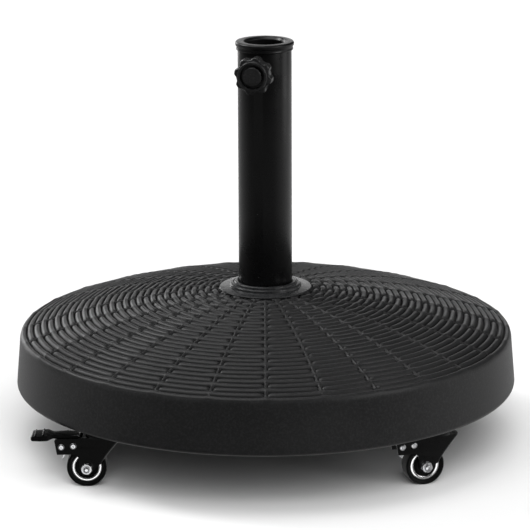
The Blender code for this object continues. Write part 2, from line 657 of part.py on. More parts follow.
def casters():
    """Four casters that share their meshes, each under its own guides."""
    meshes = {}
    for name, make, _, _ in CASTER_PIECES:
        shape = make()
        meshes[name] = shape if isinstance(shape, bpy.types.Mesh) else to_mesh(shape, name)
    axle = Vector((-TRAIL, 0, WHEEL_RADIUS))
    pivot = Vector((LEVER_PIVOT[0], 0, LEVER_PIVOT[1]))
    for place, azimuth, heading in CASTERS:
        spot = (CASTER_RADIUS * math.cos(azimuth), CASTER_RADIUS * math.sin(azimuth), 0)
        swivel = empty("swivel_guide_" + place, spot, heading)
        guides = {
            "base": (empty("plate_guide_" + place, spot, azimuth), Vector((0, 0, 0))),
            "swivel": (swivel, Vector((0, 0, 0))),
            "wheel": (empty("axle_guide_" + place, axle, parent=swivel), axle),
            "lever": (empty("pivot_guide_" + place, pivot, parent=swivel), pivot),
        }
        for name, _, material_name, guide in CASTER_PIECES:
            parent, offset = guides[guide]
            add(f"{name}_{place}", meshes[name], material_name, parent,
                Matrix.Translation(-offset))


# ---------------------------------------------------------------- assembly
def upright_and_base():
    """The fixed pieces on the tube's axis."""
    face = PAN_BOSS_Z - 0.0017 - WASHER_THICKNESS - 2 * GAP
    bore = flat_radius(CENTRE_BOLT_RADIUS + 0.0003, 16)
    pieces = (
        ("base_shell", base_shell(), "resin"),
        ("concrete_fill", concrete_fill(), "concrete"),
        ("bottom_pan", bottom_pan(), "resin"),
        ("flange_collar", flange_collar(), "powder_coat"),
        ("upright_tube", upright_tube(), "powder_coat"),
        ("tube_foot_plate", tube_foot_plate(), "zinc"),
        ("top_cap", top_cap(), "resin"),
        ("centre_bolt", centre_bolt(), "zinc"),
        ("centre_washer", centre_washer(), "zinc"),
        ("centre_nut", bored_hexagon(CENTRE_NUT_FLATS, bore, face - 0.0080, face, "centre_nut"),
         "zinc"),
        ("clamp_boss", clamp_boss(), "powder_coat"),
    )
    for name, shape, material_name in pieces:
        mesh = shape if isinstance(shape, bpy.types.Mesh) else to_mesh(shape, name)
        add(name, mesh, material_name)


def clamp_screw():
    """The knob, its cap, stud and tip, under a guide on the screw's axis."""
    spot = Vector((0, 0, KNOB_Z))
    guide = empty("screw_guide", spot)
    pieces = (
        ("knob_body", knob_body(), "gloss_plastic"),
        ("knob_cap", knob_cap(), "gloss_plastic"),
        ("knob_stud", knob_stud(), "zinc"),
        ("knob_tip", knob_tip(), "nylon"),
    )
    for name, shape, material_name in pieces:
        mesh = shape if isinstance(shape, bpy.types.Mesh) else to_mesh(shape, name)
        add(name, mesh, material_name, guide, Matrix.Translation(-spot))


def main():
    """Clears the scene and builds every piece."""
    for old in list(bpy.data.objects):
        bpy.data.objects.remove(old)
    upright_and_base()
    clamp_screw()
    casters()
    bpy.context.view_layer.update()


main()
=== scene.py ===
import json
from math import atan2, cos, pi, radians, sin, tan, tanh, tau

import bmesh
import bpy
import numpy as np
from mathutils import Matrix, Vector


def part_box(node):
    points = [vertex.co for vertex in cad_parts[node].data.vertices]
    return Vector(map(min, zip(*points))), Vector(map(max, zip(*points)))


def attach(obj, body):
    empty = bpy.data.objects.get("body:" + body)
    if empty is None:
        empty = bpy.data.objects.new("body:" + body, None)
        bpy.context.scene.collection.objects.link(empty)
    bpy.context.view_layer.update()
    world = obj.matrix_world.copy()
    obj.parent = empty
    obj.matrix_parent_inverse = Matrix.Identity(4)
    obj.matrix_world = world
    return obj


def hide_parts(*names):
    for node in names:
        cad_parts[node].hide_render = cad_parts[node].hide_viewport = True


# Looks of the parasol base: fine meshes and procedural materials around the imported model.
# Metres, +Z up, origin on the floor on the axis of the upright tube. A caster's pieces are made
# in the caster's own frame (kingpin on Z, the wheel trailing at -X) and placed by its joints.
# The knob's pieces are made in the clamp screw's frame, with Z outward from the tube's axis.

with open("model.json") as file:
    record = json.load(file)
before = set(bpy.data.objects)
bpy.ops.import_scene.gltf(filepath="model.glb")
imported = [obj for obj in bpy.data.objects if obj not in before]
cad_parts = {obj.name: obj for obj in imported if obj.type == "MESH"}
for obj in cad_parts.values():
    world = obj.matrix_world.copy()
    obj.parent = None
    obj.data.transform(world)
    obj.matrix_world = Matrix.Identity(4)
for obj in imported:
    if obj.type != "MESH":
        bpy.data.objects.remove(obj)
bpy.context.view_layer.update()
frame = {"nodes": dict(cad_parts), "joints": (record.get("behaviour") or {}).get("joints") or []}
joints = {joint["name"]: joint for joint in frame["joints"]}
PLACES = ("front_left", "front_right", "rear_right", "rear_left")

# -------- sizes; what the frame gives is read from it
CAD_STEPS = 48                       # flats of the CAD model's shell
shell_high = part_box("base_shell")[1]
BASE_RADIUS = shell_high.x / cos(pi / CAD_STEPS)
UNDERSIDE_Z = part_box("bottom_pan")[0].z
WASHER_TOP_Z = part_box("centre_washer")[1].z
DOME_RISE = 0.045                    # rim to crown
DOME_FULLNESS = 0.003                # part of the rise that stays high towards the rim
RIM_Z = shell_high.z - DOME_RISE
RIM_RADIUS = BASE_RADIUS - 0.0043    # where the side meets the dome
EDGE_RADIUS = 0.005                  # rounded bottom edge
PAN_RADIUS = 0.248
CENTRE_BORE = 0.0065                 # hole for the bolt that holds the upright
NUT_BOSS_RADIUS = 0.021              # of the pan, round the bolt's nut

TUBE_LOW, TUBE_TOP = (corner.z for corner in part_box("upright_tube"))
TUBE_RADIUS = 0.0275
TUBE_WALL = 0.0015
CAP_TOP_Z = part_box("top_cap")[1].z
CAP_RADIUS = 0.0301
POLE_BORE_RADIUS = 0.0197
SLEEVE_BORE_RADIUS = 0.0218
COLLAR_RADIUS = 0.0475

KNOB_AXIS = Vector(joints["knob_turn"]["axis"])
KNOB_SPOT = Vector(joints["knob_turn"]["pos_m"])
KNOB_FACE = KNOB_SPOT.xy.length      # from the tube's axis
KNOB_RADIUS = 0.0198
KNOB_THICKNESS = 0.0155
STUD_RADIUS = 0.004
STUD_TIP = 0.026
THREAD_PITCH = 0.00125

swivel_spot = Vector(joints["swivel_front_left"]["pos_m"])
wheel_spot = Vector(joints["wheel_front_left"]["pos_m"])
brake_spot = Vector(joints["brake_front_left"]["pos_m"])
TRAIL = (wheel_spot - swivel_spot).xy.length             # of the axle behind the kingpin
WHEEL_RADIUS = wheel_spot.z
LEVER_PIVOT = (-(brake_spot - swivel_spot).xy.length, brake_spot.z)
SPRING_PIN = (LEVER_PIVOT[0] - 0.012, LEVER_PIVOT[1] - 0.001)
WHEEL_HALF = 0.0082
TYRE_BORE = 0.0154
FACE_DEPTH = 0.0056                  # hub's face, from the middle of the wheel
TREAD_FLATS = 24                     # of the CAD model's tread
LEG_IN, LEG_OUT = 0.0088, 0.0104     # faces of a fork leg, from the middle of the wheel
NUT_SEAT = LEG_OUT + 0.0003          # where bolt head and nut start
HEX_FLATS = 0.01
FORK_TOP_Z = 0.0516
BRIDGE_THICKNESS = 0.0018
FORK_FRONT = 0.0205
FORK_FOOT_Z = 0.01
# The fork's front edge from the side, as (x, z).
FORK_SLOPE = ((FORK_FRONT, FORK_TOP_Z), (FORK_FRONT, FORK_TOP_Z - 0.002), (0.0072, 0.0338), (0.0012, 0.025))
PLATE_TOP_Z = UNDERSIDE_Z - 0.0003
PLATE_LOW_Z = UNDERSIDE_Z - 0.002
PLATE_HALF = 0.021                   # half the side of the square plate
SCREW_SPOTS = ((0.0155, 0.0155), (-0.0155, 0.0155), (-0.0155, -0.0155), (0.0155, -0.0155))
SCREW_HOLE = 0.0023
RACE_RADIUS = 0.0155
RACE_Z = swivel_spot.z               # lower face of the plate's race
KINGPIN_HOLE = 0.0043
RIVET_HOLE = 0.0023

# -------- weave
STAKES = 28                          # radial ribs under and over the strands
SECTOR = tau / STAKES
FIRST_STAKE = radians(-90)
RING_PITCH = 0.00708
BORDER_RING = 28                     # runs round unbroken
JOIN_RING = 13                       # first ring of the outer piece
FIRST_RING = -1                      # lies half under the collar
FIRST_RING_RADIUS = 0.053            # of ring 0
CREST = 0.0004                       # top of a strand above the dome
SWELL = 0.0007                       # extra where it passes over a stake
SWELL_RUN = 0.006                    # to where the extra has nearly gone
STRAND_HEIGHT = 0.0042
STRAND_HALF = 0.0034
END_GAP = 0.0013                     # from a stake's middle to the end of a strand that dives under it
END_RUN = 0.0045                     # length over which that end is rounded
STAKE_TOP = 0.0004
STAKE_HALF = 0.0013
WEAVE_FLOOR = -0.004
CONCRETE_DEPTH = 0.0048              # top of the concrete below the smooth dome


# -------- mesh helpers
JOIN, CUT, KEEP = "UNION", "DIFFERENCE", "INTERSECT"


def rounded(points, steps=4, closed=True):
    """The outline (x, y) or (x, y, radius), with an arc in each corner with a radius."""
    result = []
    count = len(points)
    for i, point in enumerate(points):
        radius = point[2] if len(point) > 2 else 0
        corner = Vector(point[:2])
        if radius == 0 or (not closed and i in (0, count - 1)):
            result.append(tuple(corner))
            continue
        before = Vector(points[i - 1][:2]) - corner
        after = Vector(points[(i + 1) % count][:2]) - corner
        half = before.angle(after) / 2
        reach = min(radius / tan(half), 0.49 * before.length, 0.49 * after.length)
        start = corner + before.normalized() * reach
        end = corner + after.normalized() * reach
        centre = corner + (before.normalized() + after.normalized()).normalized() * reach / cos(half)
        first = start - centre
        sweep = first.angle_signed(end - centre)
        for k in range(steps + 1):
            turn = Matrix.Rotation(-sweep * k / steps, 2)
            result.append(tuple(centre + turn @ first))
    return result


def arc(centre, radius, start, end, count):
    """Points on an arc, angles in degrees."""
    angles = [radians(start + (end - start) * i / (count - 1)) for i in range(count)]
    return [(centre[0] + radius * cos(a), centre[1] + radius * sin(a)) for a in angles]


def to_mesh(bm, sharp=40):
    """A mesh with outward faces from bm, smooth but for edges sharper than that angle."""
    bmesh.ops.remove_doubles(bm, verts=bm.verts, dist=1e-7)
    bmesh.ops.recalc_face_normals(bm, faces=bm.faces)
    mesh = bpy.data.meshes.new("shape")
    bm.to_mesh(mesh)
    bm.free()
    mesh.shade_smooth()
    mesh.set_sharp_from_angle(angle=radians(sharp))
    return mesh


def as_mesh(shape, name):
    """A mesh with a name, from a mesh or an editable shape."""
    mesh = to_mesh(shape) if isinstance(shape, bmesh.types.BMesh) else shape
    mesh.name = name
    return mesh


def linked(name, data):
    """A new object in the scene."""
    made = bpy.data.objects.new(name, data)
    bpy.context.scene.collection.objects.link(made)
    return made


def turned(profile, steps, axis="Z", centre=(0, 0, 0)):
    """A solid turned from (radius, height) points about an axis."""
    bm = bmesh.new()
    points = [bm.verts.new((radius, 0, height)) for radius, height in profile]
    open_ends = profile[0][0] < 1e-9 and profile[-1][0] < 1e-9
    count = len(points) - 1 if open_ends else len(points)
    edges = [bm.edges.new((points[i], points[(i + 1) % len(points)])) for i in range(count)]
    bmesh.ops.spin(bm, geom=points + edges, cent=(0, 0, 0), axis=(0, 0, 1),
                   angle=tau, steps=steps, use_merge=True)
    turn = Matrix.Identity(4) if axis == "Z" else Matrix.Rotation(-pi / 2, 4, "X")
    bmesh.ops.transform(bm, matrix=Matrix.Translation(centre) @ turn, verts=bm.verts)
    return bm


def rod(radius, high, low, steps, axis="Z", centre=(0, 0, 0)):
    """A plain cylinder along an axis, between two heights."""
    return turned([(0, high), (radius, high), (radius, low), (0, low)], steps, axis, centre)


def rectangle(left, right, low, high):
    """Outline of a rectangle."""
    return [(left, low), (right, low), (right, high), (left, high)]


def prism(outline, low, high, axis="Z"):
    """An outline extruded between two heights; axis Y takes (x, z) points."""
    bm = bmesh.new()
    if axis == "Z":
        points = [(x, y, low) for x, y in outline]
        push = (0, 0, high - low)
    else:
        points = [(x, low, z) for x, z in outline]
        push = (0, high - low, 0)
    face = bm.faces.new([bm.verts.new(p) for p in points])
    grown = bmesh.ops.extrude_face_region(bm, geom=[face])
    moved = [g for g in grown["geom"] if isinstance(g, bmesh.types.BMVert)]
    bmesh.ops.translate(bm, verts=moved, vec=push)
    return bm


def loft(rings):
    """A solid through rings of equally many points, with flat ends."""
    bm = bmesh.new()
    loops = [[bm.verts.new(p) for p in ring] for ring in rings]
    count = len(loops[0])
    for lower, upper in zip(loops, loops[1:]):
        for i in range(count):
            j = (i + 1) % count
            bm.faces.new((lower[i], lower[j], upper[j], upper[i]))
    bm.faces.new(loops[0])
    bm.faces.new(loops[-1])
    return bm


def evaluated(body, sharp):
    """The mesh of an object with its modifiers applied; the object is removed."""
    depsgraph = bpy.context.evaluated_depsgraph_get()
    bm = bmesh.new()
    bm.from_mesh(bpy.data.meshes.new_from_object(body.evaluated_get(depsgraph)))
    bpy.data.objects.remove(body)
    return to_mesh(bm, sharp)


def combined(base, steps, sharp=35):
    """The mesh of base after exact Booleans, each step an operation and a shape."""
    body = linked("base", as_mesh(base, "base"))
    tools = []
    for operation, shape in steps:
        tool = linked("tool", as_mesh(shape, "tool"))
        tools.append(tool)
        change = body.modifiers.new("change", "BOOLEAN")
        change.operation = operation
        change.solver = "EXACT"
        change.object = tool
    mesh = evaluated(body, sharp)
    for tool in tools:
        bpy.data.objects.remove(tool)
    return mesh


def bevelled(mesh, width, segments=2, angle=35):
    """The mesh with its sharp edges rounded."""
    body = linked("body", mesh)
    edge = body.modifiers.new("edge", "BEVEL")
    edge.width = width
    edge.segments = segments
    edge.limit_method = "ANGLE"
    edge.angle_limit = radians(angle)
    return evaluated(body, 50)


def piece(name, shape, body, material, replaces=(), matrix=None):
    """A named piece: its body, material and the CAD nodes it stands for."""
    made = linked(name, as_mesh(shape, name))
    if not made.data.materials:
        made.data.materials.append(material)
    made.matrix_world = matrix or Matrix.Identity(4)
    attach(made, body)
    if replaces:
        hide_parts(*replaces)
    return made


# -------- material helpers
def node(beside, kind, inputs=None, **settings):
    """A shader node in another item's tree; an input is a value or a node's output."""
    tree = beside.id_data
    made = tree.nodes.new(kind)
    for key, value in settings.items():
        setattr(made, key, value)
    for key, value in (inputs or {}).items():
        if isinstance(value, bpy.types.NodeSocket):
            tree.links.new(value, made.inputs[key])
        else:
            made.inputs[key].default_value = value
    return made


def new_material(name, **sockets):
    """A Principled material and the object's own coordinates in it."""
    made = bpy.data.materials.new(name)
    made.use_nodes = True
    shader = made.node_tree.nodes["Principled BSDF"]
    for key, value in sockets.items():
        shader.inputs[key.replace("_", " ")].default_value = value
    return made, node(shader, "ShaderNodeTexCoord").outputs["Object"]


def noise(where, scale, detail=3.0, roughness=0.5):
    """Fractal noise, 0 to 1."""
    inputs = {"Vector": where, "Scale": scale, "Detail": detail, "Roughness": roughness}
    return node(where, "ShaderNodeTexNoise", inputs).outputs["Fac"]


def levels(value, low, high, to_low=0.0, to_high=1.0):
    """The value with low..high moved to another range, clamped."""
    inputs = {"Value": value, "From Min": low, "From Max": high, "To Min": to_low, "To Max": to_high}
    return node(value, "ShaderNodeMapRange", inputs).outputs["Result"]


def mix(share, first, second):
    """Two colours mixed by an output; each is an output or (r, g, b)."""
    inputs = {0: share}
    for index, colour in ((6, first), (7, second)):
        inputs[index] = colour if isinstance(colour, bpy.types.NodeSocket) else (*colour, 1.0)
    return node(share, "ShaderNodeMix", inputs, data_type="RGBA").outputs[2]


def grey(tone):
    """A neutral colour."""
    return (tone, tone, tone)


def maths(operation, first, second):
    """One arithmetic node; the first value is an output."""
    return node(first, "ShaderNodeMath", {0: first, 1: second}, operation=operation).outputs[0]


def bump(height, strength, distance, normal=None):
    """A bump normal, on top of another where one is given."""
    inputs = {"Height": height, "Strength": strength, "Distance": distance}
    if normal is not None:
        inputs["Normal"] = normal
    return node(height, "ShaderNodeBump", inputs).outputs["Normal"]


def connected(material, colour, roughness, normal):
    """The material with the three inputs linked that every one here varies."""
    tree = material.node_tree
    for socket, output in (("Base Color", colour), ("Roughness", roughness), ("Normal", normal)):
        tree.links.new(output, tree.nodes["Principled BSDF"].inputs[socket])
    return material


def finish(name, dark, light, rough, blotch, grain=900.0, grain_depth=0.00008, edge_lightening=0.0, **sockets):
    """A moulded or painted surface: blotches of tone and gloss, fine grain and lighter sharp edges."""
    made, where = new_material(name, **sockets)
    soft = noise(where, blotch, 4.0, 0.6)
    fine = noise(where, grain, 2.0)
    colour = mix(levels(soft, 0.35, 0.68), dark, light)
    colour = mix(levels(fine, 0.4, 0.9, 0.0, 0.35), colour, light)
    # Sharp edges, found by pointiness, made lighter in patches by the blotch noise.
    if edge_lightening:
        edge = node(where, "ShaderNodeNewGeometry").outputs["Pointiness"]
        sharp_edge_share = maths("MULTIPLY", levels(edge, 0.52, 0.62), levels(soft, 0.3, 0.7, 0.3))
        colour = mix(maths("MULTIPLY", sharp_edge_share, edge_lightening), colour,
                     tuple(min(1.0, c * 3 + 0.02) for c in light))
    patches = noise(where, blotch * 4.3, 3.0)
    roughness = levels(patches, 0.3, 0.7, rough[0], rough[1])
    return connected(made, colour, roughness, bump(fine, 0.35, grain_depth))


# -------- materials
def resin_material():
    """Satin moulded resin: painted shade in the weave's grooves; paler crests, worn and with a painted
    highlight.
    """
    made, where = new_material("moulded_resin", Specular_IOR_Level=0.34)
    relief = node(where, "ShaderNodeAttribute", attribute_name="relief").outputs["Fac"]
    soft = noise(where, 11.0, 5.0, 0.6)
    fine = noise(where, 1100.0, 2.0)
    grit = noise(where, 420.0, 4.0, 0.7)
    tone = mix(levels(soft, 0.32, 0.7), (0.04, 0.04, 0.041), (0.056, 0.056, 0.057))
    # Painted shade: the colour darkens down in the weave's grooves, where shade falls.
    depth = levels(relief, -0.0034, -0.0004)
    tone = mix(depth, (0.007, 0.007, 0.0075), tone)
    # Paler crests: rubbed wear, patchy by the grit noise, with a painted highlight on top.
    crest_wear_and_highlight = maths("MULTIPLY", levels(relief, -0.0008, CREST), levels(grit, 0.45, 0.75))
    tone = mix(maths("MULTIPLY", crest_wear_and_highlight, 0.5), tone, (0.13, 0.13, 0.131))
    cloudy = maths("ADD", grit, maths("MULTIPLY", soft, 0.6))
    roughness = levels(cloudy, 0.55, 1.05, 0.33, 0.5)
    normal = bump(grit, 0.3, 0.00035)
    normal = bump(fine, 0.3, 0.0001, normal)
    return connected(made, tone, roughness, normal)


def trim_material():
    """Bright anodised trim, with fine turned rings about the axle."""
    made, where = new_material("bright_trim", Metallic=1.0)
    axle = (-TRAIL, 0, WHEEL_RADIUS)
    offset = node(where, "ShaderNodeVectorMath", {0: where, 1: axle}, operation="SUBTRACT").outputs[0]
    flat = node(where, "ShaderNodeVectorMath", {0: offset, 1: (1, 0, 1)}, operation="MULTIPLY").outputs[0]
    radius = node(where, "ShaderNodeVectorMath", {0: flat}, operation="LENGTH").outputs["Value"]
    rings = {"W": radius, "Scale": 9000.0, "Detail": 2.0}
    line = node(where, "ShaderNodeTexNoise", rings, noise_dimensions="1D").outputs["Fac"]
    cloud = noise(where, 160.0)
    colour = mix(levels(line, 0.3, 0.7), (0.8, 0.8, 0.81), grey(0.93))
    roughness = levels(maths("ADD", line, cloud), 0.7, 1.3, 0.16, 0.3)
    return connected(made, colour, roughness, bump(line, 0.12, 0.00005))


def zinc_material():
    """Bright zinc plate: faint cloudy tone, fine drawn lines and a few dull spots."""
    made, where = new_material("zinc_plate", Metallic=1.0)
    cloud = noise(where, 140.0, 4.0, 0.6)
    drawn = node(where, "ShaderNodeMapping", {"Vector": where, "Scale": (1, 1, 14)}).outputs["Vector"]
    lines = noise(drawn, 700.0, 2.0)
    spots = noise(where, 900.0, 1.0)
    colour = mix(levels(cloud, 0.3, 0.7), (0.62, 0.63, 0.66), grey(0.8))
    colour = mix(levels(spots, 0.62, 0.75, 0.0, 0.5), colour, (0.42, 0.42, 0.43))
    roughness = levels(maths("ADD", cloud, lines), 0.75, 1.25, 0.22, 0.4)
    return connected(made, colour, roughness, bump(lines, 0.15, 0.00004))


def tyre_material():
    """Soft black tread: dusty, fine-grained, with faint scuffs."""
    made, where = new_material("soft_tread", Specular_IOR_Level=0.35)
    dust = noise(where, 190.0, 4.0, 0.65)
    fine = noise(where, 1500.0, 2.0)
    colour = mix(levels(dust, 0.42, 0.75), grey(0.004), (0.018, 0.018, 0.017))
    roughness = levels(dust, 0.3, 0.7, 0.5, 0.72)
    normal = bump(dust, 0.15, 0.0002)
    return connected(made, colour, roughness, bump(fine, 0.3, 0.00006, normal))


def concrete_material():
    """Cast concrete: grey, blotchy, with pores."""
    made, where = new_material("cast_concrete")
    cloud = noise(where, 22.0, 6.0, 0.65)
    pores = node(where, "ShaderNodeTexVoronoi", {"Vector": where, "Scale": 260.0}).outputs["Distance"]
    colour = mix(cloud, (0.24, 0.235, 0.22), (0.46, 0.45, 0.43))
    colour = mix(levels(pores, 0.0, 0.22, 1.0, 0.0), colour, (0.12, 0.12, 0.115))
    return connected(made, colour, levels(cloud, 0.3, 0.7, 0.82, 0.97), bump(pores, 0.4, 0.0006))


RESIN = resin_material()
PAN = finish("pan_resin", grey(0.018), grey(0.034), (0.5, 0.68), blotch=9.0)
COLLAR = finish("collar_coat", (0.038, 0.039, 0.041), (0.062, 0.063, 0.065), (0.22, 0.34), blotch=45.0,
                grain=1400.0, edge_lightening=0.25)
TUBE = finish("tube_coat", (0.0045, 0.0045, 0.0048), (0.0075, 0.0075, 0.0078), (0.24, 0.33), blotch=14.0,
              grain=1300.0, grain_depth=0.00003, Specular_IOR_Level=0.65)
CAP = finish("cap_plastic", (0.01, 0.01, 0.011), (0.017, 0.017, 0.018), (0.28, 0.38), blotch=60.0)
KNOB = finish("knob_plastic", (0.042, 0.042, 0.043), (0.06, 0.06, 0.0612), (0.18, 0.3), blotch=90.0,
              grain_depth=0.00002)
NYLON = finish("natural_nylon", (0.5, 0.49, 0.45), (0.6, 0.59, 0.55), (0.45, 0.6), blotch=300.0)
FORK = finish("fork_paint", (0.005, 0.005, 0.0052), (0.01, 0.01, 0.0104), (0.26, 0.38), blotch=110.0,
              edge_lightening=0.25)
HUB = finish("hub_plastic", grey(0.01), grey(0.018), (0.34, 0.5), blotch=160.0)
LEVER = finish("lever_plastic", grey(0.002), grey(0.004), (0.12, 0.2), blotch=120.0,
               grain_depth=0.00001, Specular_IOR_Level=0.35)
ZINC = zinc_material()
TRIM = trim_material()
TYRE = tyre_material()
CONCRETE = concrete_material()


# -------- shell with its weave
def dome_z(radius):
    """Height of the smooth dome at a radius."""
    share = (radius / RIM_RADIUS) ** 2
    return RIM_Z + (DOME_RISE - DOME_FULLNESS) * (1 - share) + DOME_FULLNESS * (1 - share ** 2)


def weave_rows(first, last):
    """Radius and ring index of each row between two rings, eight rows to a ring."""
    offsets = (-0.5 * RING_PITCH, -0.0031, -0.0023, -0.0012, 0.0, 0.0012, 0.0023, 0.0031)
    rows = []
    for ring in range(first, last + 1):
        middle = FIRST_RING_RADIUS + ring * RING_PITCH
        rows += [(middle + offset, ring) for offset in offsets if ring < BORDER_RING or offset < 0.0031]
    return rows


def column_angles(radius, free):
    """Angles of the columns at a radius: close together across each stake, even between stakes."""
    near = (0.0, 0.0008, 0.0013, 0.0018, 0.0026, 0.0038, 0.0056)
    start, end = near[-1] / radius, SECTOR - near[-1] / radius
    inside = [offset / radius for offset in near]
    inside += [start + (end - start) * (i + 1) / (free + 1) for i in range(free)]
    inside += [SECTOR - offset / radius for offset in reversed(near[1:])]
    return np.array([FIRST_STAKE + SECTOR * k + a for k in range(STAKES) for a in inside])


def weave_height(radius, ring, angles):
    """Height of the weave above the smooth dome along one row."""
    across = (angles - FIRST_STAKE) / SECTOR
    nearest = np.round(across)
    aside = np.abs(across - nearest) * SECTOR * radius
    has_stakes = ring != BORDER_RING
    under = has_stakes & ((nearest + ring) % 2 == 1)
    share = np.clip((aside - END_GAP) / END_RUN, 0, 1)
    end = np.sqrt(1 - (1 - share) ** 2)
    swell = SWELL * np.exp(-(aside / SWELL_RUN) ** 2)
    top = CREST + np.where(under, STRAND_HEIGHT * (end - 1), swell)
    middle = FIRST_RING_RADIUS + ring * RING_PITCH
    inside = np.clip(1 - ((radius - middle) / STRAND_HALF) ** 2, 0, 1)
    strand = np.where(inside > 0, top + STRAND_HEIGHT * (np.sqrt(inside) - 1), WEAVE_FLOOR)
    on_stake = has_stakes & (aside < STAKE_HALF + 0.0001)
    stake = np.where(on_stake, STAKE_TOP - 0.001 * (aside / STAKE_HALF) ** 2, WEAVE_FLOOR)
    return np.maximum(np.maximum(strand, stake), WEAVE_FLOOR)


def shell_side_profile():
    """(radius, height) from the groove under the border ring down to the bottom lip."""
    top = (RIM_RADIUS + 0.0003, RIM_Z - 0.0042)
    edge = (BASE_RADIUS - EDGE_RADIUS, UNDERSIDE_Z + EDGE_RADIUS)
    profile = [(RIM_RADIUS - 0.0002, RIM_Z - 0.0026), top]
    for share in (0.03, 0.2, 0.4, 0.6, 0.8, 0.97):
        profile.append((top[0] + (BASE_RADIUS - top[0]) * share, top[1] + (edge[1] - top[1]) * share))
    profile += arc(edge, EDGE_RADIUS, 0, -78, 7)
    lip = PAN_RADIUS + 0.0005
    return profile + [(lip, profile[-1][1] + 0.0002), (lip, UNDERSIDE_Z + 0.0068)]


def ring_points(radius, angles, height):
    """Points round the axis; radius and height are one value or one for each angle."""
    return np.stack([radius * np.cos(angles), radius * np.sin(angles), angles * 0 + height], 1)


def woven(rows, side, free):
    """A surface from rows of the weave and rows of the plain side, with its relief stored."""
    rings = []
    relief = []
    for radius, ring in rows:
        angles = column_angles(radius, free)
        height = weave_height(radius, ring, angles)
        rings.append(ring_points(radius, angles, dome_z(radius) + height))
        relief.append(height)
    for radius, height in side:
        angles = column_angles(radius, free)
        rings.append(ring_points(radius, angles, height))
        relief.append(angles * 0 + CREST / 2)
    count = len(rings[0])
    faces = []
    for row in range(len(rings) - 1):
        for column in range(count):
            right = (column + 1) % count
            faces.append((row * count + column, (row + 1) * count + column,
                          (row + 1) * count + right, row * count + right))
    mesh = bpy.data.meshes.new("woven")
    mesh.from_pydata(np.concatenate(rings).tolist(), [], faces)
    stored = mesh.attributes.new("relief", "FLOAT", "POINT")
    stored.data.foreach_set("value", np.concatenate(relief).astype(np.float32))
    mesh.shade_smooth()
    mesh.update()
    return mesh


def outer_weave():
    """Outer part of the shell: weave, rim, side wall, rounded edge and lip."""
    return woven(weave_rows(JOIN_RING, BORDER_RING), shell_side_profile(), 8)


def inner_weave():
    """Inner part of the shell's weave, its last row under the outer part."""
    rows = weave_rows(FIRST_RING, JOIN_RING - 1)
    edge = FIRST_RING_RADIUS + (JOIN_RING - 0.5) * RING_PITCH
    tuck = [(edge, dome_z(edge) + WEAVE_FLOOR), (edge + 0.0004, dome_z(edge) + WEAVE_FLOOR - 0.0003)]
    return woven(rows, tuck, 3)


def concrete_filling():
    """Concrete under the shell, from the centre bolt's hole out to the side wall."""
    low = UNDERSIDE_Z + 0.0064
    hole = CENTRE_BORE + 0.0001
    recess = NUT_BOSS_RADIUS + 0.0006
    boss_top = WASHER_TOP_Z + 0.0024
    radii = np.linspace(hole, PAN_RADIUS + 0.001, 40)
    dome = [(radius, dome_z(radius) - CONCRETE_DEPTH) for radius in radii]
    side = [(PAN_RADIUS + 0.003, RIM_Z - 0.009), (PAN_RADIUS + 0.0069, 0.076), (PAN_RADIUS + 0.002, low)]
    return turned([*dome, *side, (recess, low), (recess, boss_top), (hole, boss_top)], 128)


def bottom_pan():
    """Closing pan: a flat disc with a stepped edge, shallow rings and the nut's recess."""
    recess_top = WASHER_TOP_Z + 0.0003
    recess, low, high = 0.018, UNDERSIDE_Z, UNDERSIDE_Z + 0.006
    groove_top = low + 0.0012
    profile = [(CENTRE_BORE, recess_top), (recess, recess_top, 0.001), (recess, low, 0.001)]
    for radius in (0.06, 0.11, 0.16, 0.205):
        profile += [(radius - 0.003, low, 0.001), (radius - 0.002, groove_top, 0.0006),
                    (radius + 0.002, groove_top, 0.0006), (radius + 0.003, low, 0.001)]
    profile += [(PAN_RADIUS - 0.004, low, 0.002), (PAN_RADIUS, low + 0.003, 0.002), (PAN_RADIUS, high),
                (NUT_BOSS_RADIUS, high), (NUT_BOSS_RADIUS, recess_top + 0.0017),
                (CENTRE_BORE, recess_top + 0.0017)]
    return turned(rounded(profile, 2), 128)


# -------- upright
def collar():
    """Flange collar: a flat ring on the dome, a stepped bead and a seat round the tube."""
    base = dome_z(COLLAR_RADIUS) + 0.0003
    seat = TUBE_LOW - 0.0003
    sleeve = TUBE_RADIUS + 0.0003
    profile = [
        (CENTRE_BORE, seat), (CENTRE_BORE, dome_z(CENTRE_BORE) + 0.0003), (COLLAR_RADIUS, base, 0.0002),
        (COLLAR_RADIUS, base + 0.0017, 0.001), (0.0372, base + 0.0027, 0.0004),
        (0.0366, base + 0.0056, 0.0017), (0.0338, base + 0.0064, 0.0008), (0.0334, base + 0.0053, 0.0004),
        (0.0326, base + 0.0053, 0.0004), (0.0322, base + 0.0078, 0.0017), (0.0295, base + 0.0086, 0.0014),
        (sleeve, base + 0.0066, 0.0006), (sleeve, seat),
    ]
    return turned(rounded(profile, 5), 128)


def screw_matrix():
    """The clamp screw's frame: Z is the distance outward from the tube's axis."""
    azimuth = atan2(KNOB_AXIS.y, KNOB_AXIS.x)
    turn = Matrix.Rotation(azimuth, 4, "Z") @ Matrix.Rotation(pi / 2, 4, "Y")
    return Matrix.Translation((0, 0, KNOB_SPOT.z)) @ turn


def tube():
    """Upright tube with the clamp screw's hole."""
    inner = TUBE_RADIUS - TUBE_WALL
    wall = turned(rounded([(inner, TUBE_TOP, 0.0003), (TUBE_RADIUS, TUBE_TOP, 0.0003),
                           (TUBE_RADIUS, TUBE_LOW, 0.0003), (inner, TUBE_LOW, 0.0003)], 2), 128)
    hole = rod(STUD_RADIUS + 0.0006, 0.035, 0.015, 32)
    bmesh.ops.transform(hole, matrix=screw_matrix(), verts=hole.verts)
    return combined(wall, [(CUT, hole)], 30)


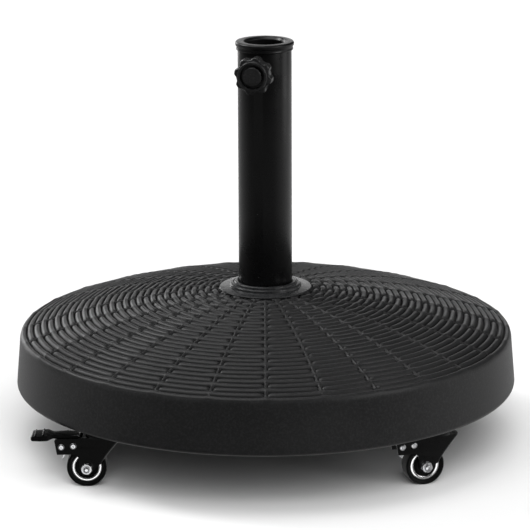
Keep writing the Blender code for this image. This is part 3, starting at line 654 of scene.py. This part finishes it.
def cap():
    """Moulded cap: rolled lip, short skirt outside the tube and sleeve inside it."""
    over = TUBE_TOP + 0.0003
    skirt_in = TUBE_RADIUS + 0.0002
    sleeve_out = TUBE_RADIUS - TUBE_WALL - 0.0005
    top = CAP_TOP_Z
    sleeve_foot = top - 0.021
    profile = [
        (POLE_BORE_RADIUS, top - 0.0026, 0.001), (POLE_BORE_RADIUS + 0.0019, top - 0.0004, 0.0008),
        (0.0245, top, 0.001), (CAP_RADIUS - 0.0012, top - 0.0002, 0.0016),
        (CAP_RADIUS, top - 0.002, 0.0016), (CAP_RADIUS - 0.0004, top - 0.0046, 0.0012),
        (0.0286, top - 0.0052, 0.0005), (0.0287, top - 0.0068, 0.0003), (0.0291, top - 0.0078, 0.0004),
        (0.0289, top - 0.0088, 0.0005), (skirt_in, top - 0.009, 0.0002), (skirt_in, over),
        (sleeve_out, over), (sleeve_out, sleeve_foot, 0.0005), (SLEEVE_BORE_RADIUS, sleeve_foot, 0.0005),
        (SLEEVE_BORE_RADIUS, top - 0.01, 0.001), (POLE_BORE_RADIUS, top - 0.008, 0.001),
    ]
    return turned(rounded(profile, 4), 128)


def boss():
    """Boss on the tube for the stud, with the fillet of its weld."""
    bore = STUD_RADIUS + 0.0001
    profile = [(bore, 0.0322, 0.0003), (0.0085, 0.0322, 0.0008), (0.0085, 0.0288, 0.002),
               (0.0098, 0.0268, 0.0008), (0.01, 0.02), (bore, 0.02)]
    body = turned(rounded(profile, 4), 64)
    bmesh.ops.transform(body, matrix=screw_matrix(), verts=body.verts)
    room = rod(TUBE_RADIUS - 0.0001, 0.43, 0.36, 128)
    return combined(body, [(CUT, room)])


# -------- clamp knob
def knob_grip():
    """Eight-lobed grip: lobes set back from a round face, a groove round the cap's seat."""
    lobes, columns, depth = 8, 160, 0.0024
    phase = radians(-11.5)
    back = KNOB_FACE - KNOB_THICKNESS
    angles = tau * np.arange(columns) / columns
    bulge = 0.5 + 0.5 * np.tanh(1.7 * np.cos(lobes * (angles - phase))) / tanh(1.7)

    def ring(share, height, wave):
        return ring_points((KNOB_RADIUS - depth * wave * (1 - bulge)) * share, angles, height)

    rows = [(0.25, 0, 0), (0.6, 0, 0.2), (0.86, 0, 0.9), (0.93, 0.0004, 1), (0.975, 0.0014, 1),
            (0.995, 0.0028, 1), (1, 0.0045, 1), (1, 0.0075, 1), (1, 0.0098, 1),
            (0.99, 0.0113, 1), (0.965, 0.0123, 1), (0.925, 0.0128, 1), (0.87, 0.013, 0.8),
            (0.805, 0.013, 0.3), (0.785, 0.0133, 0), (0.778, 0.0142, 0), (0.764, 0.0149, 0),
            (0.735, 0.0153, 0), (0.695, 0.0153, 0), (0.655, 0.0151, 0), (0.634, 0.0145, 0),
            (0.626, 0.0132, 0), (0.616, 0.0112, 0), (0.6, 0.0104, 0), (0.55, 0.0103, 0),
            (0.3, 0.0103, 0)]
    return loft([ring(share, back + height, wave) for share, height, wave in rows])


def knob_badge():
    """Raised round cap in the knob's face, domed with a rounded edge."""
    seat = KNOB_FACE - 0.0042
    crown = [(0.0, KNOB_FACE + 0.001), (0.004, KNOB_FACE + 0.0009), (0.0072, KNOB_FACE + 0.0006)]
    side = rounded([crown[-1], (0.0097, KNOB_FACE + 0.0001, 0.0014), (0.0099, seat, 0.0001), (0.0, seat)],
                   5, closed=False)
    return turned(crown + side[1:], 96)


def threaded_stud():
    """M8 stud: a real helical thread between its two plain ends."""
    steps, per_turn, depth = 40, 10, 0.00065
    low, high = STUD_TIP + 0.001, KNOB_FACE - KNOB_THICKNESS + 0.006
    rows = int((high - low) / THREAD_PITCH * per_turn)
    around = np.arange(steps) / steps
    rings = [ring_points(STUD_RADIUS - 0.0012, tau * around, STUD_TIP)]
    for row in range(rows + 1):
        height = low + (high - low) * row / rows
        phase = (height / THREAD_PITCH - around) % 1.0
        groove = np.maximum(0.0, 1 - np.abs(phase - 0.5) / 0.42)
        rings.append(ring_points(STUD_RADIUS - depth * groove, tau * around, height))
    return loft(rings)


# -------- casters
def mounting_plate():
    """Square plate with four screw holes and the upper race pressed down from it."""
    corners = rectangle(-PLATE_HALF, PLATE_HALF, -PLATE_HALF, PLATE_HALF)
    plate = prism(rounded([(*corner, 0.004) for corner in corners], 6), PLATE_LOW_Z, PLATE_TOP_Z)
    top = PLATE_TOP_Z - 0.0004
    race = turned(rounded([(0, top), (RACE_RADIUS - 0.002, top),
                           (RACE_RADIUS, PLATE_LOW_Z - 0.0004, 0.001), (RACE_RADIUS, RACE_Z, 0.0009),
                           (0, RACE_Z)], 4), 64)
    steps = [(JOIN, race), (CUT, rod(KINGPIN_HOLE, 0.07, 0.05, 32))]
    steps += [(CUT, rod(SCREW_HOLE, 0.07, 0.05, 24, centre=(*spot, 0))) for spot in SCREW_SPOTS]
    return bevelled(combined(plate, steps), 0.0004, angle=50)


def plate_screw():
    """Pan-head screw with a cross recess, head down, about its own axis."""
    head = rounded([(0, -0.0016), (0.0022, -0.0015, 0.002), (0.0036, -0.0004, 0.0012),
                    (0.0036, 0.0, 0.0001), (0.0021, 0.0, 0.0001), (0.0021, 0.0017), (0, 0.0017)],
                   4, closed=False)
    arms = []
    for x, y in ((0.0019, 0.00045), (0.00045, 0.0019)):
        arms.append((CUT, prism(rectangle(-x, x, -y, y), -0.003, -0.0009)))
    return combined(turned(head, 32), arms)


def plate_screws():
    """The plate's four screws, each a separate closed body."""
    one = plate_screw()
    bm = bmesh.new()
    for index, spot in enumerate(SCREW_SPOTS):
        copy = one.copy()
        turn = Matrix.Rotation(radians(17 + 31 * index), 4, "Z")
        copy.transform(Matrix.Translation((*spot, PLATE_LOW_Z - 0.0001)) @ turn)
        bm.from_mesh(copy)
    return bm


def race_balls():
    """Balls of the swivel race, between the plate and the fork."""
    bm = bmesh.new()
    for spot in ring_points(0.0125, tau * np.arange(18) / 18, RACE_Z - 0.00018):
        bmesh.ops.create_icosphere(bm, subdivisions=2, radius=0.0011, matrix=Matrix.Translation(spot))
    return bm


def king_rivet():
    """Kingpin: a rivet through plate and fork, domed below."""
    head_top = FORK_TOP_Z - BRIDGE_THICKNESS - 0.0003
    profile = [(0, PLATE_TOP_Z), (0.004, PLATE_TOP_Z, 0.0003), (0.004, head_top, 0.0001),
               (0.0065, head_top, 0.0003), (0.0065, head_top - 0.001, 0.0008),
               (0.0045, head_top - 0.0024, 0.0012), (0, head_top - 0.0024)]
    return turned(rounded(profile, 4, closed=False), 40)


def leg_outline():
    """Side view of the fork, from its front edge round by the axle and the brake box."""
    boss_end = arc((-TRAIL, WHEEL_RADIUS), 0.0065, -15, -190, 21)
    front = [(*spot, corner) for spot, corner in zip(FORK_SLOPE, (0, 0.004, 0.006, 0.003))]
    back = [(-0.0226, 0.0325, 0.004), (-0.0262, 0.0342, 0.003), (-0.0434, 0.0342, 0.0008),
            (-0.0458, 0.0485, 0.0012), (-0.0446, 0.0503, 0.0006), (-0.023, 0.051, 0.0012),
            (-0.018, FORK_TOP_Z)]
    return rounded(front + boss_end + back, 5)


def hood_ring(height, inset, corner):
    """Plan of the fork at a height: straight sides and a front with round corners."""
    xs, heights = zip(*reversed(FORK_SLOPE))
    front = np.interp(height, heights, xs) - inset
    half = LEG_OUT - inset
    outline = rounded([(front, half, corner), (-0.06, half), (-0.06, -half), (front, -half, corner)], 8)
    return [(x, y, height) for x, y in outline]


def pressed_fork():
    """Fork pressed from sheet: legs wrapped round the front, bridge, lower race, holes."""
    sheet = LEG_OUT - LEG_IN
    bridge_low = FORK_TOP_Z - BRIDGE_THICKNESS
    rise = FORK_TOP_Z - FORK_FOOT_Z
    heights = [FORK_FOOT_Z, 0.018, 0.025, 0.029, 0.0338, 0.038, 0.042, 0.046, 0.0496]
    outer = [hood_ring(z, 0.0, 0.0022 + 0.0022 * (z - FORK_FOOT_Z) / rise) for z in [*heights, FORK_TOP_Z]]
    room = [hood_ring(z, sheet, 0.001 + 0.002 * (z - FORK_FOOT_Z) / rise) for z in heights]
    room = loft([*room, hood_ring(bridge_low, sheet, 0.0028)])
    lowest = [vertex for vertex in room.verts if vertex.co.z < FORK_FOOT_Z + 0.0001]
    bmesh.ops.translate(room, verts=lowest, vec=(0, 0, -0.02))
    side = prism(leg_outline(), -0.02, 0.02, "Y")
    back_slot = prism(rectangle(-0.07, -0.018, 0.0495, 0.06), -LEG_IN, LEG_IN, "Y")
    under_web = prism(rectangle(-0.02, 0.04, 0.0, 0.0347), -0.0062, 0.0062, "Y")
    top, foot = RACE_Z - 0.0004, FORK_TOP_Z - 0.0004
    race = turned(rounded([(0, top), (RACE_RADIUS, top, 0.001), (RACE_RADIUS, foot), (0, foot)], 4), 64)
    steps = [(KEEP, side), (CUT, room), (CUT, back_slot), (CUT, under_web), (JOIN, race),
             (CUT, rod(KINGPIN_HOLE, 0.06, 0.045, 32))]
    sites = ((-TRAIL, WHEEL_RADIUS, 0.0032), (*LEVER_PIVOT, RIVET_HOLE), (*SPRING_PIN, RIVET_HOLE))
    for x, z, radius in sites:
        steps.append((CUT, rod(radius, 0.02, -0.02, 24, "Y", (x, 0, z))))
    return bevelled(combined(loft(outer), steps, 30), 0.00035, angle=48)


def on_axle(profile, steps):
    """A shape turned about the axle, profile as (radius, distance along it)."""
    return turned(profile, steps, "Y", (-TRAIL, 0, WHEEL_RADIUS))


def both_sides(half_profile):
    """A closed profile from its half at +Y, mirrored to the other side."""
    return half_profile + [(radius, -height) for radius, height in reversed(half_profile)]


def tread():
    """Tyre: crowned tread, round shoulders, side walls dished in to the hub."""
    half, crown = WHEEL_HALF, WHEEL_RADIUS
    side = rounded([(TYRE_BORE, FACE_DEPTH - 0.0008), (TYRE_BORE, FACE_DEPTH, 0.0003),
                    (TYRE_BORE + 0.0006, FACE_DEPTH + 0.0003, 0.0006),
                    (TYRE_BORE + 0.002, half - 0.0004, 0.001), (crown - 0.0009, half, 0.0008),
                    (crown - 0.0001, half - 0.001, 0.0008), (crown, half - 0.003, 0.006),
                    (crown, 0.0)], 5, closed=False)
    return on_axle(both_sides(side[:-1]), 128)


def hub():
    """Wheel centre: a rim, rings stepping down to a dished web, and the axle's boss."""
    rim = TYRE_BORE - 0.0002
    face = FACE_DEPTH
    steps = [(0.0033, WHEEL_HALF, 0.0003), (0.0056, WHEEL_HALF, 0.0006), (0.0062, face - 0.0012, 0.0008),
             (0.0088, face - 0.0016, 0.0006), (0.0092, face - 0.0006, 0.0003),
             (0.0098, face - 0.0006, 0.0003), (0.0101, face - 0.0014, 0.0003),
             (0.0107, face - 0.0014, 0.0003), (0.011, face - 0.0003, 0.0003),
             (0.0114, face - 0.0002, 0.0003), (0.0116, face - 0.0006, 0.0001), (rim, face - 0.0006)]
    return on_axle(both_sides(rounded(steps, 3, closed=False)), 128)


def trim_ring(side):
    """Bright ring pressed on one face of the wheel, half round."""
    base = FACE_DEPTH - 0.0005
    profile = rounded([(0.0117, base), (0.0117, base + 0.0012, 0.0005), (0.0134, base + 0.0018, 0.0016),
                       (0.0151, base + 0.0012, 0.0005), (0.0151, base)], 4)
    return on_axle([(radius, side * height) for radius, height in profile], 128)


def across(mesh):
    """Lays a shape made about Z along the caster's Y, at the axle."""
    place = Matrix.Translation((-TRAIL, 0, WHEEL_RADIUS)) @ Matrix.Rotation(-pi / 2, 4, "X")
    mesh.transform(place)
    mesh.update()
    return mesh


def chamfered_hex(flats, low, high):
    """Hexagon, sized over its flats, with its corners turned off at both ends."""
    reach = flats / 2 / cos(pi / 6)
    corners = [radians(60 * i + 12) for i in range(6)]
    outline = [(reach * cos(angle), reach * sin(angle)) for angle in corners]
    cone = turned([(0, high), (flats / 2 - 0.0001, high), (reach + 0.0001, high - 0.0008),
                   (reach + 0.0001, low + 0.0008), (flats / 2 - 0.0001, low), (0, low)], 64)
    return combined(prism(outline, low - 0.0001, high + 0.0001), [(KEEP, cone)])


def bolt():
    """Axle bolt: hexagon head at +Y, plain shank, threaded domed end past the nut."""
    head = chamfered_hex(HEX_FLATS, NUT_SEAT, NUT_SEAT + 0.0032)
    start, end = NUT_SEAT + 0.001, -NUT_SEAT - 0.0068
    shank = rounded([(0, start), (0.003, start), (0.003, end + 0.0012, 0.0001),
                     (0.0026, end + 0.0004, 0.0004), (0.0014, end - 0.0001, 0.002), (0, end - 0.0002)], 4,
                    closed=False)
    return across(bevelled(combined(head, [(JOIN, turned(shank, 48))]), 0.00012))


def lock_nut():
    """Lock nut: washer face, chamfered hexagon and the collar that holds its insert."""
    seat, low, high = -NUT_SEAT, -NUT_SEAT - 0.0044, -NUT_SEAT - 0.0006
    body = chamfered_hex(HEX_FLATS, low, high)
    washer = turned(rounded([(0.0031, seat), (0.0053, seat, 0.0001), (0.0053, seat - 0.0008, 0.0002),
                             (0.0031, seat - 0.0008)], 2), 48)
    sleeve = turned(rounded([(0.0034, low + 0.0004), (0.0042, low + 0.0004), (0.0042, low - 0.001, 0.0004),
                             (0.0034, low - 0.001, 0.0002)], 3), 48)
    bore = rod(0.0031, 0.0, -0.03, 48)
    return across(bevelled(combined(body, [(JOIN, washer), (CUT, bore), (JOIN, sleeve)]), 0.00012))


def domed_rivet(site):
    """Rivet through both legs, each head domed with a small set mark."""
    face = LEG_OUT + 0.0001
    head = rounded([(0.0021, face), (0.00325, face, 0.0001), (0.0032, face + 0.0007, 0.0004),
                    (0.002, face + 0.0015, 0.0012), (0.001, face + 0.0015, 0.0003),
                    (0.0007, face + 0.0009, 0.0003), (0, face + 0.0009)], 4, closed=False)
    return turned(both_sides(head[::-1]), 40, "Y", (site[0], 0, site[1]))


def about_pivot(point, angle):
    """A (x, z) point turned about the lever's pivot; positive lifts what is behind it."""
    offset = Matrix.Rotation(angle, 2) @ Vector((point[0] - LEVER_PIVOT[0], point[1] - LEVER_PIVOT[1]))
    return (LEVER_PIVOT[0] + offset.x, LEVER_PIVOT[1] + offset.y)


def pad_toe():
    """Ends of the brake pad's toe at rest, from where it meets the tread when down."""
    travel = radians(joints["brake_front_left"]["range_deg"][1])
    reach = WHEEL_RADIUS / cos(pi / TREAD_FLATS) + 0.0004
    angle = radians(134)
    c, s = cos(angle), sin(angle)
    centre = (-TRAIL + reach * c, WHEEL_RADIUS + reach * s)
    half = 0.0018
    ends = ((centre[0] - half * s, centre[1] + half * c), (centre[0] + half * s, centre[1] - half * c))
    return [about_pivot(end, -travel) for end in ends]


def lever():
    """Brake lever: ribbed paddle, arm stepped in between the legs, brake pad."""
    narrow, wide = LEG_IN - 0.0006, 0.0112
    toe_back, toe_front = pad_toe()
    arm_side = rounded([(-0.048, 0.0532), (-0.035, 0.0538, 0.02), (-0.0225, 0.0533, 0.0015),
                        (-0.0205, 0.052, 0.0012), (-0.0205, 0.049, 0.0012), (-0.0225, 0.041, 0.003),
                        toe_front, toe_back, (-0.0345, 0.04, 0.002), (-0.0348, 0.048, 0.0015),
                        (-0.037, 0.05, 0.0015), (-0.048, 0.0505)], 4)
    arm = prism(arm_side, -narrow, narrow, "Y")
    side = rounded([(-0.0684, 0.0529, 0.001), (-0.0525, 0.0544, 0.004), (-0.047, 0.0533),
                    (-0.047, 0.0505), (-0.052, 0.0488, 0.003), (-0.06, 0.0484, 0.01),
                    (-0.0684, 0.0488, 0.001), (-0.0694, 0.0498, 0.0006), (-0.0694, 0.0519, 0.0008)], 4)
    plan = rounded([(-0.0694, -wide, 0.0028), (-0.053, -wide, 0.004), (-0.0484, -narrow, 0.003),
                    (-0.046, -narrow), (-0.046, narrow), (-0.0484, narrow, 0.003), (-0.053, wide, 0.004),
                    (-0.0694, wide, 0.0028)], 5)
    paddle = combined(prism(side, -0.02, 0.02, "Y"), [(KEEP, prism(plan, 0.04, 0.06))])
    steps = [(JOIN, paddle)]
    for x, foot in ((-0.0657, 0.0522), (-0.0577, 0.0529)):
        rib = rounded([(x, foot), (x + 0.0003, foot + 0.0022, 0.0004), (x + 0.0017, foot + 0.0023, 0.0004),
                       (x + 0.0022, foot)], 3)
        steps.append((JOIN, prism(rib, -0.0104, 0.0104, "Y")))
    step = rectangle(-0.0335, -0.0326, 0.049, 0.0541)
    steps.append((JOIN, prism(step, -narrow - 0.0002, narrow + 0.0002, "Y")))
    hole = rod(RIVET_HOLE, 0.02, -0.02, 24, "Y", (LEVER_PIVOT[0], 0, LEVER_PIVOT[1]))
    steps.append((CUT, hole))
    return bevelled(combined(arm, steps, 30), 0.0004, segments=3, angle=40)


def strip_spring():
    """Strip spring wrapped round its rivet, its tail hanging below the fork."""
    inner, outer = 0.0025, 0.0031
    outside = arc(SPRING_PIN, outer, 0, 250, 24)
    inside = arc(SPRING_PIN, inner, 250, 0, 24)
    tail_x = SPRING_PIN[0] + outer
    tail = [(tail_x - 0.0006, 0.0394), (tail_x - 0.0004, 0.033), (tail_x - 0.0022, 0.0292),
            (tail_x - 0.0016, 0.0289), (tail_x + 0.0003, 0.0328), (tail_x, 0.0396)]
    return bevelled(to_mesh(prism(outside + inside + tail, -0.005, 0.005, "Y")), 0.0001)


def caster_matrices(place):
    """Placing matrices of a caster's plate and of what swivels with its fork."""
    spot = Vector(joints["swivel_" + place]["pos_m"])
    axle = Vector(joints["wheel_" + place]["axis"])
    moved = Matrix.Translation((spot.x, spot.y, 0))
    radial = atan2(spot.y, spot.x)
    heading = atan2(-axle.x, axle.y)
    return moved @ Matrix.Rotation(radial, 4, "Z"), moved @ Matrix.Rotation(heading, 4, "Z")


def casters():
    """Four casters that share their meshes."""
    rows = (
        # piece, shape, where it rides, material, slot, the CAD node it stands for
        ("mounting_plate", mounting_plate(), "plate", ZINC, "zinc", "caster_plate"),
        ("plate_screws", plate_screws(), "plate", ZINC, "zinc", None),
        ("king_rivet", king_rivet(), "plate", ZINC, "zinc", "kingpin"),
        ("pressed_fork", pressed_fork(), "swivel", FORK, "fork_paint", "fork"),
        ("race_balls", race_balls(), "swivel", ZINC, "zinc", None),
        ("bolt", bolt(), "swivel", ZINC, "zinc", "axle_bolt"),
        ("lock_nut", lock_nut(), "swivel", ZINC, "zinc", "axle_nut"),
        ("pivot_rivet", domed_rivet(LEVER_PIVOT), "swivel", ZINC, "zinc", "lever_rivet"),
        ("spring_pin", domed_rivet(SPRING_PIN), "swivel", ZINC, "zinc", "spring_rivet"),
        ("strip_spring", strip_spring(), "swivel", ZINC, "zinc", "brake_spring"),
        ("hub", hub(), "wheel", HUB, "hub_plastic", "wheel_hub"),
        ("tread", tread(), "wheel", TYRE, "tyre", "tyre"),
        ("trim_ring_left", trim_ring(1), "wheel", TRIM, "zinc", None),
        ("trim_ring_right", trim_ring(-1), "wheel", TRIM, "zinc", None),
        ("lever", lever(), "lever", LEVER, "lever_plastic", "brake_lever"),
    )
    shared = {name: as_mesh(shape, name) for name, shape, *_ in rows}
    for place in PLACES:
        plate, swivel = caster_matrices(place)
        for name, _, group, material, slot, stands_for in rows:
            body = "base" if group == "plate" else f"{group}_{place}"
            hidden = [f"{stands_for}_{place}"] if stands_for else []
            piece(f"{name}_{place}", shared[name], body, material, hidden,
                  plate if group == "plate" else swivel)


# -------- assembly
def fixed_pieces():
    """The shell, pan, collar, tube, cap and boss."""
    piece("wicker_outer", outer_weave(), "base", RESIN, ["base_shell"])
    piece("wicker_inner", inner_weave(), "base", RESIN)
    piece("concrete_filling", concrete_filling(), "base", CONCRETE, ["concrete_fill"])
    piece("closing_pan", bottom_pan(), "base", PAN, ["bottom_pan"])
    piece("collar", collar(), "base", COLLAR, ["flange_collar"])
    piece("tube", tube(), "base", TUBE, ["upright_tube"])
    piece("cap", cap(), "base", CAP, ["top_cap"])
    piece("boss", boss(), "base", TUBE, ["clamp_boss"])


def clamp_pieces():
    """The knob, its cap and its stud."""
    place = screw_matrix()
    piece("knob_grip", knob_grip(), "clamp_knob", KNOB, ["knob_body"], place)
    piece("knob_badge", knob_badge(), "clamp_knob", KNOB, ["knob_cap"], place)
    piece("threaded_stud", threaded_stud(), "clamp_knob", ZINC, ["knob_stud"], place)


def carried_over():
    """Materials of the CAD nodes that stay."""
    kept = {"tube_foot_plate": ZINC, "centre_bolt": ZINC, "centre_washer": ZINC, "centre_nut": ZINC,
            "knob_tip": NYLON}
    for name, material in kept.items():
        for slot in frame["nodes"][name].material_slots:
            slot.material = material


# -------- stage
def camera():
    """A long lens from the front, a little above."""
    distance, elevation, aim_z = 3.2, radians(14.9), 0.1861
    made = linked("camera", bpy.data.cameras.new("camera"))
    made.location = (0, -distance * cos(elevation), aim_z + distance * sin(elevation))
    roll = Matrix.Rotation(radians(-0.22), 3, "Z")
    made.rotation_euler = (Matrix.Rotation(pi / 2 - elevation, 3, "X") @ roll).to_euler()
    made.data.sensor_width = 36
    made.data.lens = 210.1
    made.data.shift_x = -0.0008
    bpy.context.scene.camera = made


def soft_light(name, azimuth, elevation, power, spread, receivers=None):
    """A distant soft box, its spread in degrees; it may light one collection only."""
    light = bpy.data.lights.new(name, "SUN")
    light.energy = pi * power
    light.angle = radians(spread)
    made = linked(name, light)
    flat = cos(radians(elevation))
    towards = Vector((flat * cos(radians(azimuth)), flat * sin(radians(azimuth)),
                      sin(radians(elevation))))
    made.rotation_euler = towards.to_track_quat("Z", "Y").to_euler()
    if receivers:
        made.light_linking.receiver_collection = receivers


def surroundings():
    """White to the camera; to the part, a dim room over the glow of a pale floor."""
    above, front, back = 0.02, 0.1, 0.56
    world = bpy.data.worlds.new("studio")
    bpy.context.scene.world = world
    world.use_nodes = True
    background = world.node_tree.nodes["Background"]
    where = node(background, "ShaderNodeTexCoord").outputs["Generated"]
    parts = node(where, "ShaderNodeSeparateXYZ", {"Vector": where}).outputs
    rearward = maths("ADD", parts["Y"], maths("MULTIPLY", parts["X"], 0.25))
    floor_glow = levels(rearward, -0.6, 0.9, front, back)
    floor_glow = maths("MULTIPLY", floor_glow, levels(parts["Z"], -0.03, 0.03, 1.0, 0.0))
    glow = maths("ADD", floor_glow, above)
    seen = node(glow, "ShaderNodeLightPath").outputs["Is Camera Ray"]
    strength = node(glow, "ShaderNodeMix", {0: seen, 2: glow, 3: 1.0}, data_type="FLOAT").outputs[0]
    world.node_tree.links.new(strength, background.inputs["Strength"])
    background.inputs["Color"].default_value = (1, 1, 1, 1)


def pale_floor():
    """The studio's floor; the glow it would throw comes from the surroundings."""
    bm = bmesh.new()
    bmesh.ops.create_grid(bm, x_segments=8, y_segments=8, size=12)
    floor = linked("floor", as_mesh(bm, "floor"))
    floor.data.materials.append(finish("pale_floor", grey(0.8), grey(0.82), (0.85, 0.95),
                                       blotch=2.0, grain=200.0))
    floor.visible_diffuse = floor.visible_glossy = floor.visible_shadow = False
    return floor


def lit_group(name, shown):
    """Collection of objects for a light that shines on nothing else."""
    group = bpy.data.collections.new(name)
    for member in shown:
        group.objects.link(member)
    return group


def made_of(shown, *materials):
    """Those objects that have one of the materials."""
    return [member for member in shown if member.active_material in materials]


def studio():
    """Soft boxes round the part, some lighting only the floor, the bright metal or the levers."""
    surroundings()
    part = [shown for shown in bpy.context.scene.objects if shown.type == "MESH"]
    part_only = lit_group("part_only", part)
    bright_metal = lit_group("bright_metal", made_of(part, ZINC, TRIM))
    levers = lit_group("levers", made_of(part, LEVER))
    floor_only = lit_group("floor_only", [pale_floor()])
    soft_light("key", 156, 40, 0.27, 16)
    soft_light("top_left", 185, 70, 0.22, 40)
    soft_light("low_back_left", 120, 8, 0.14, 25, part_only)
    soft_light("back", 88, 10, 0.06, 30, part_only)
    soft_light("right", 330, 28, 0.165, 30)
    soft_light("low_right", 5, 8, 0.04, 30, part_only)
    soft_light("front_top", 270, 68, 0.06, 40)
    soft_light("floor_top", 310, 75, 0.5, 70, floor_only)
    soft_light("floor_front", 275, 38, 0.64, 40, floor_only)
    soft_light("metal_front", 270, -18, 0.34, 60, bright_metal)
    soft_light("lever_glint", 104, 1, 0.035, 14, levers)


fixed_pieces()
clamp_pieces()
casters()
carried_over()
camera()
studio()
bpy.context.scene.view_settings.view_transform = "Standard"
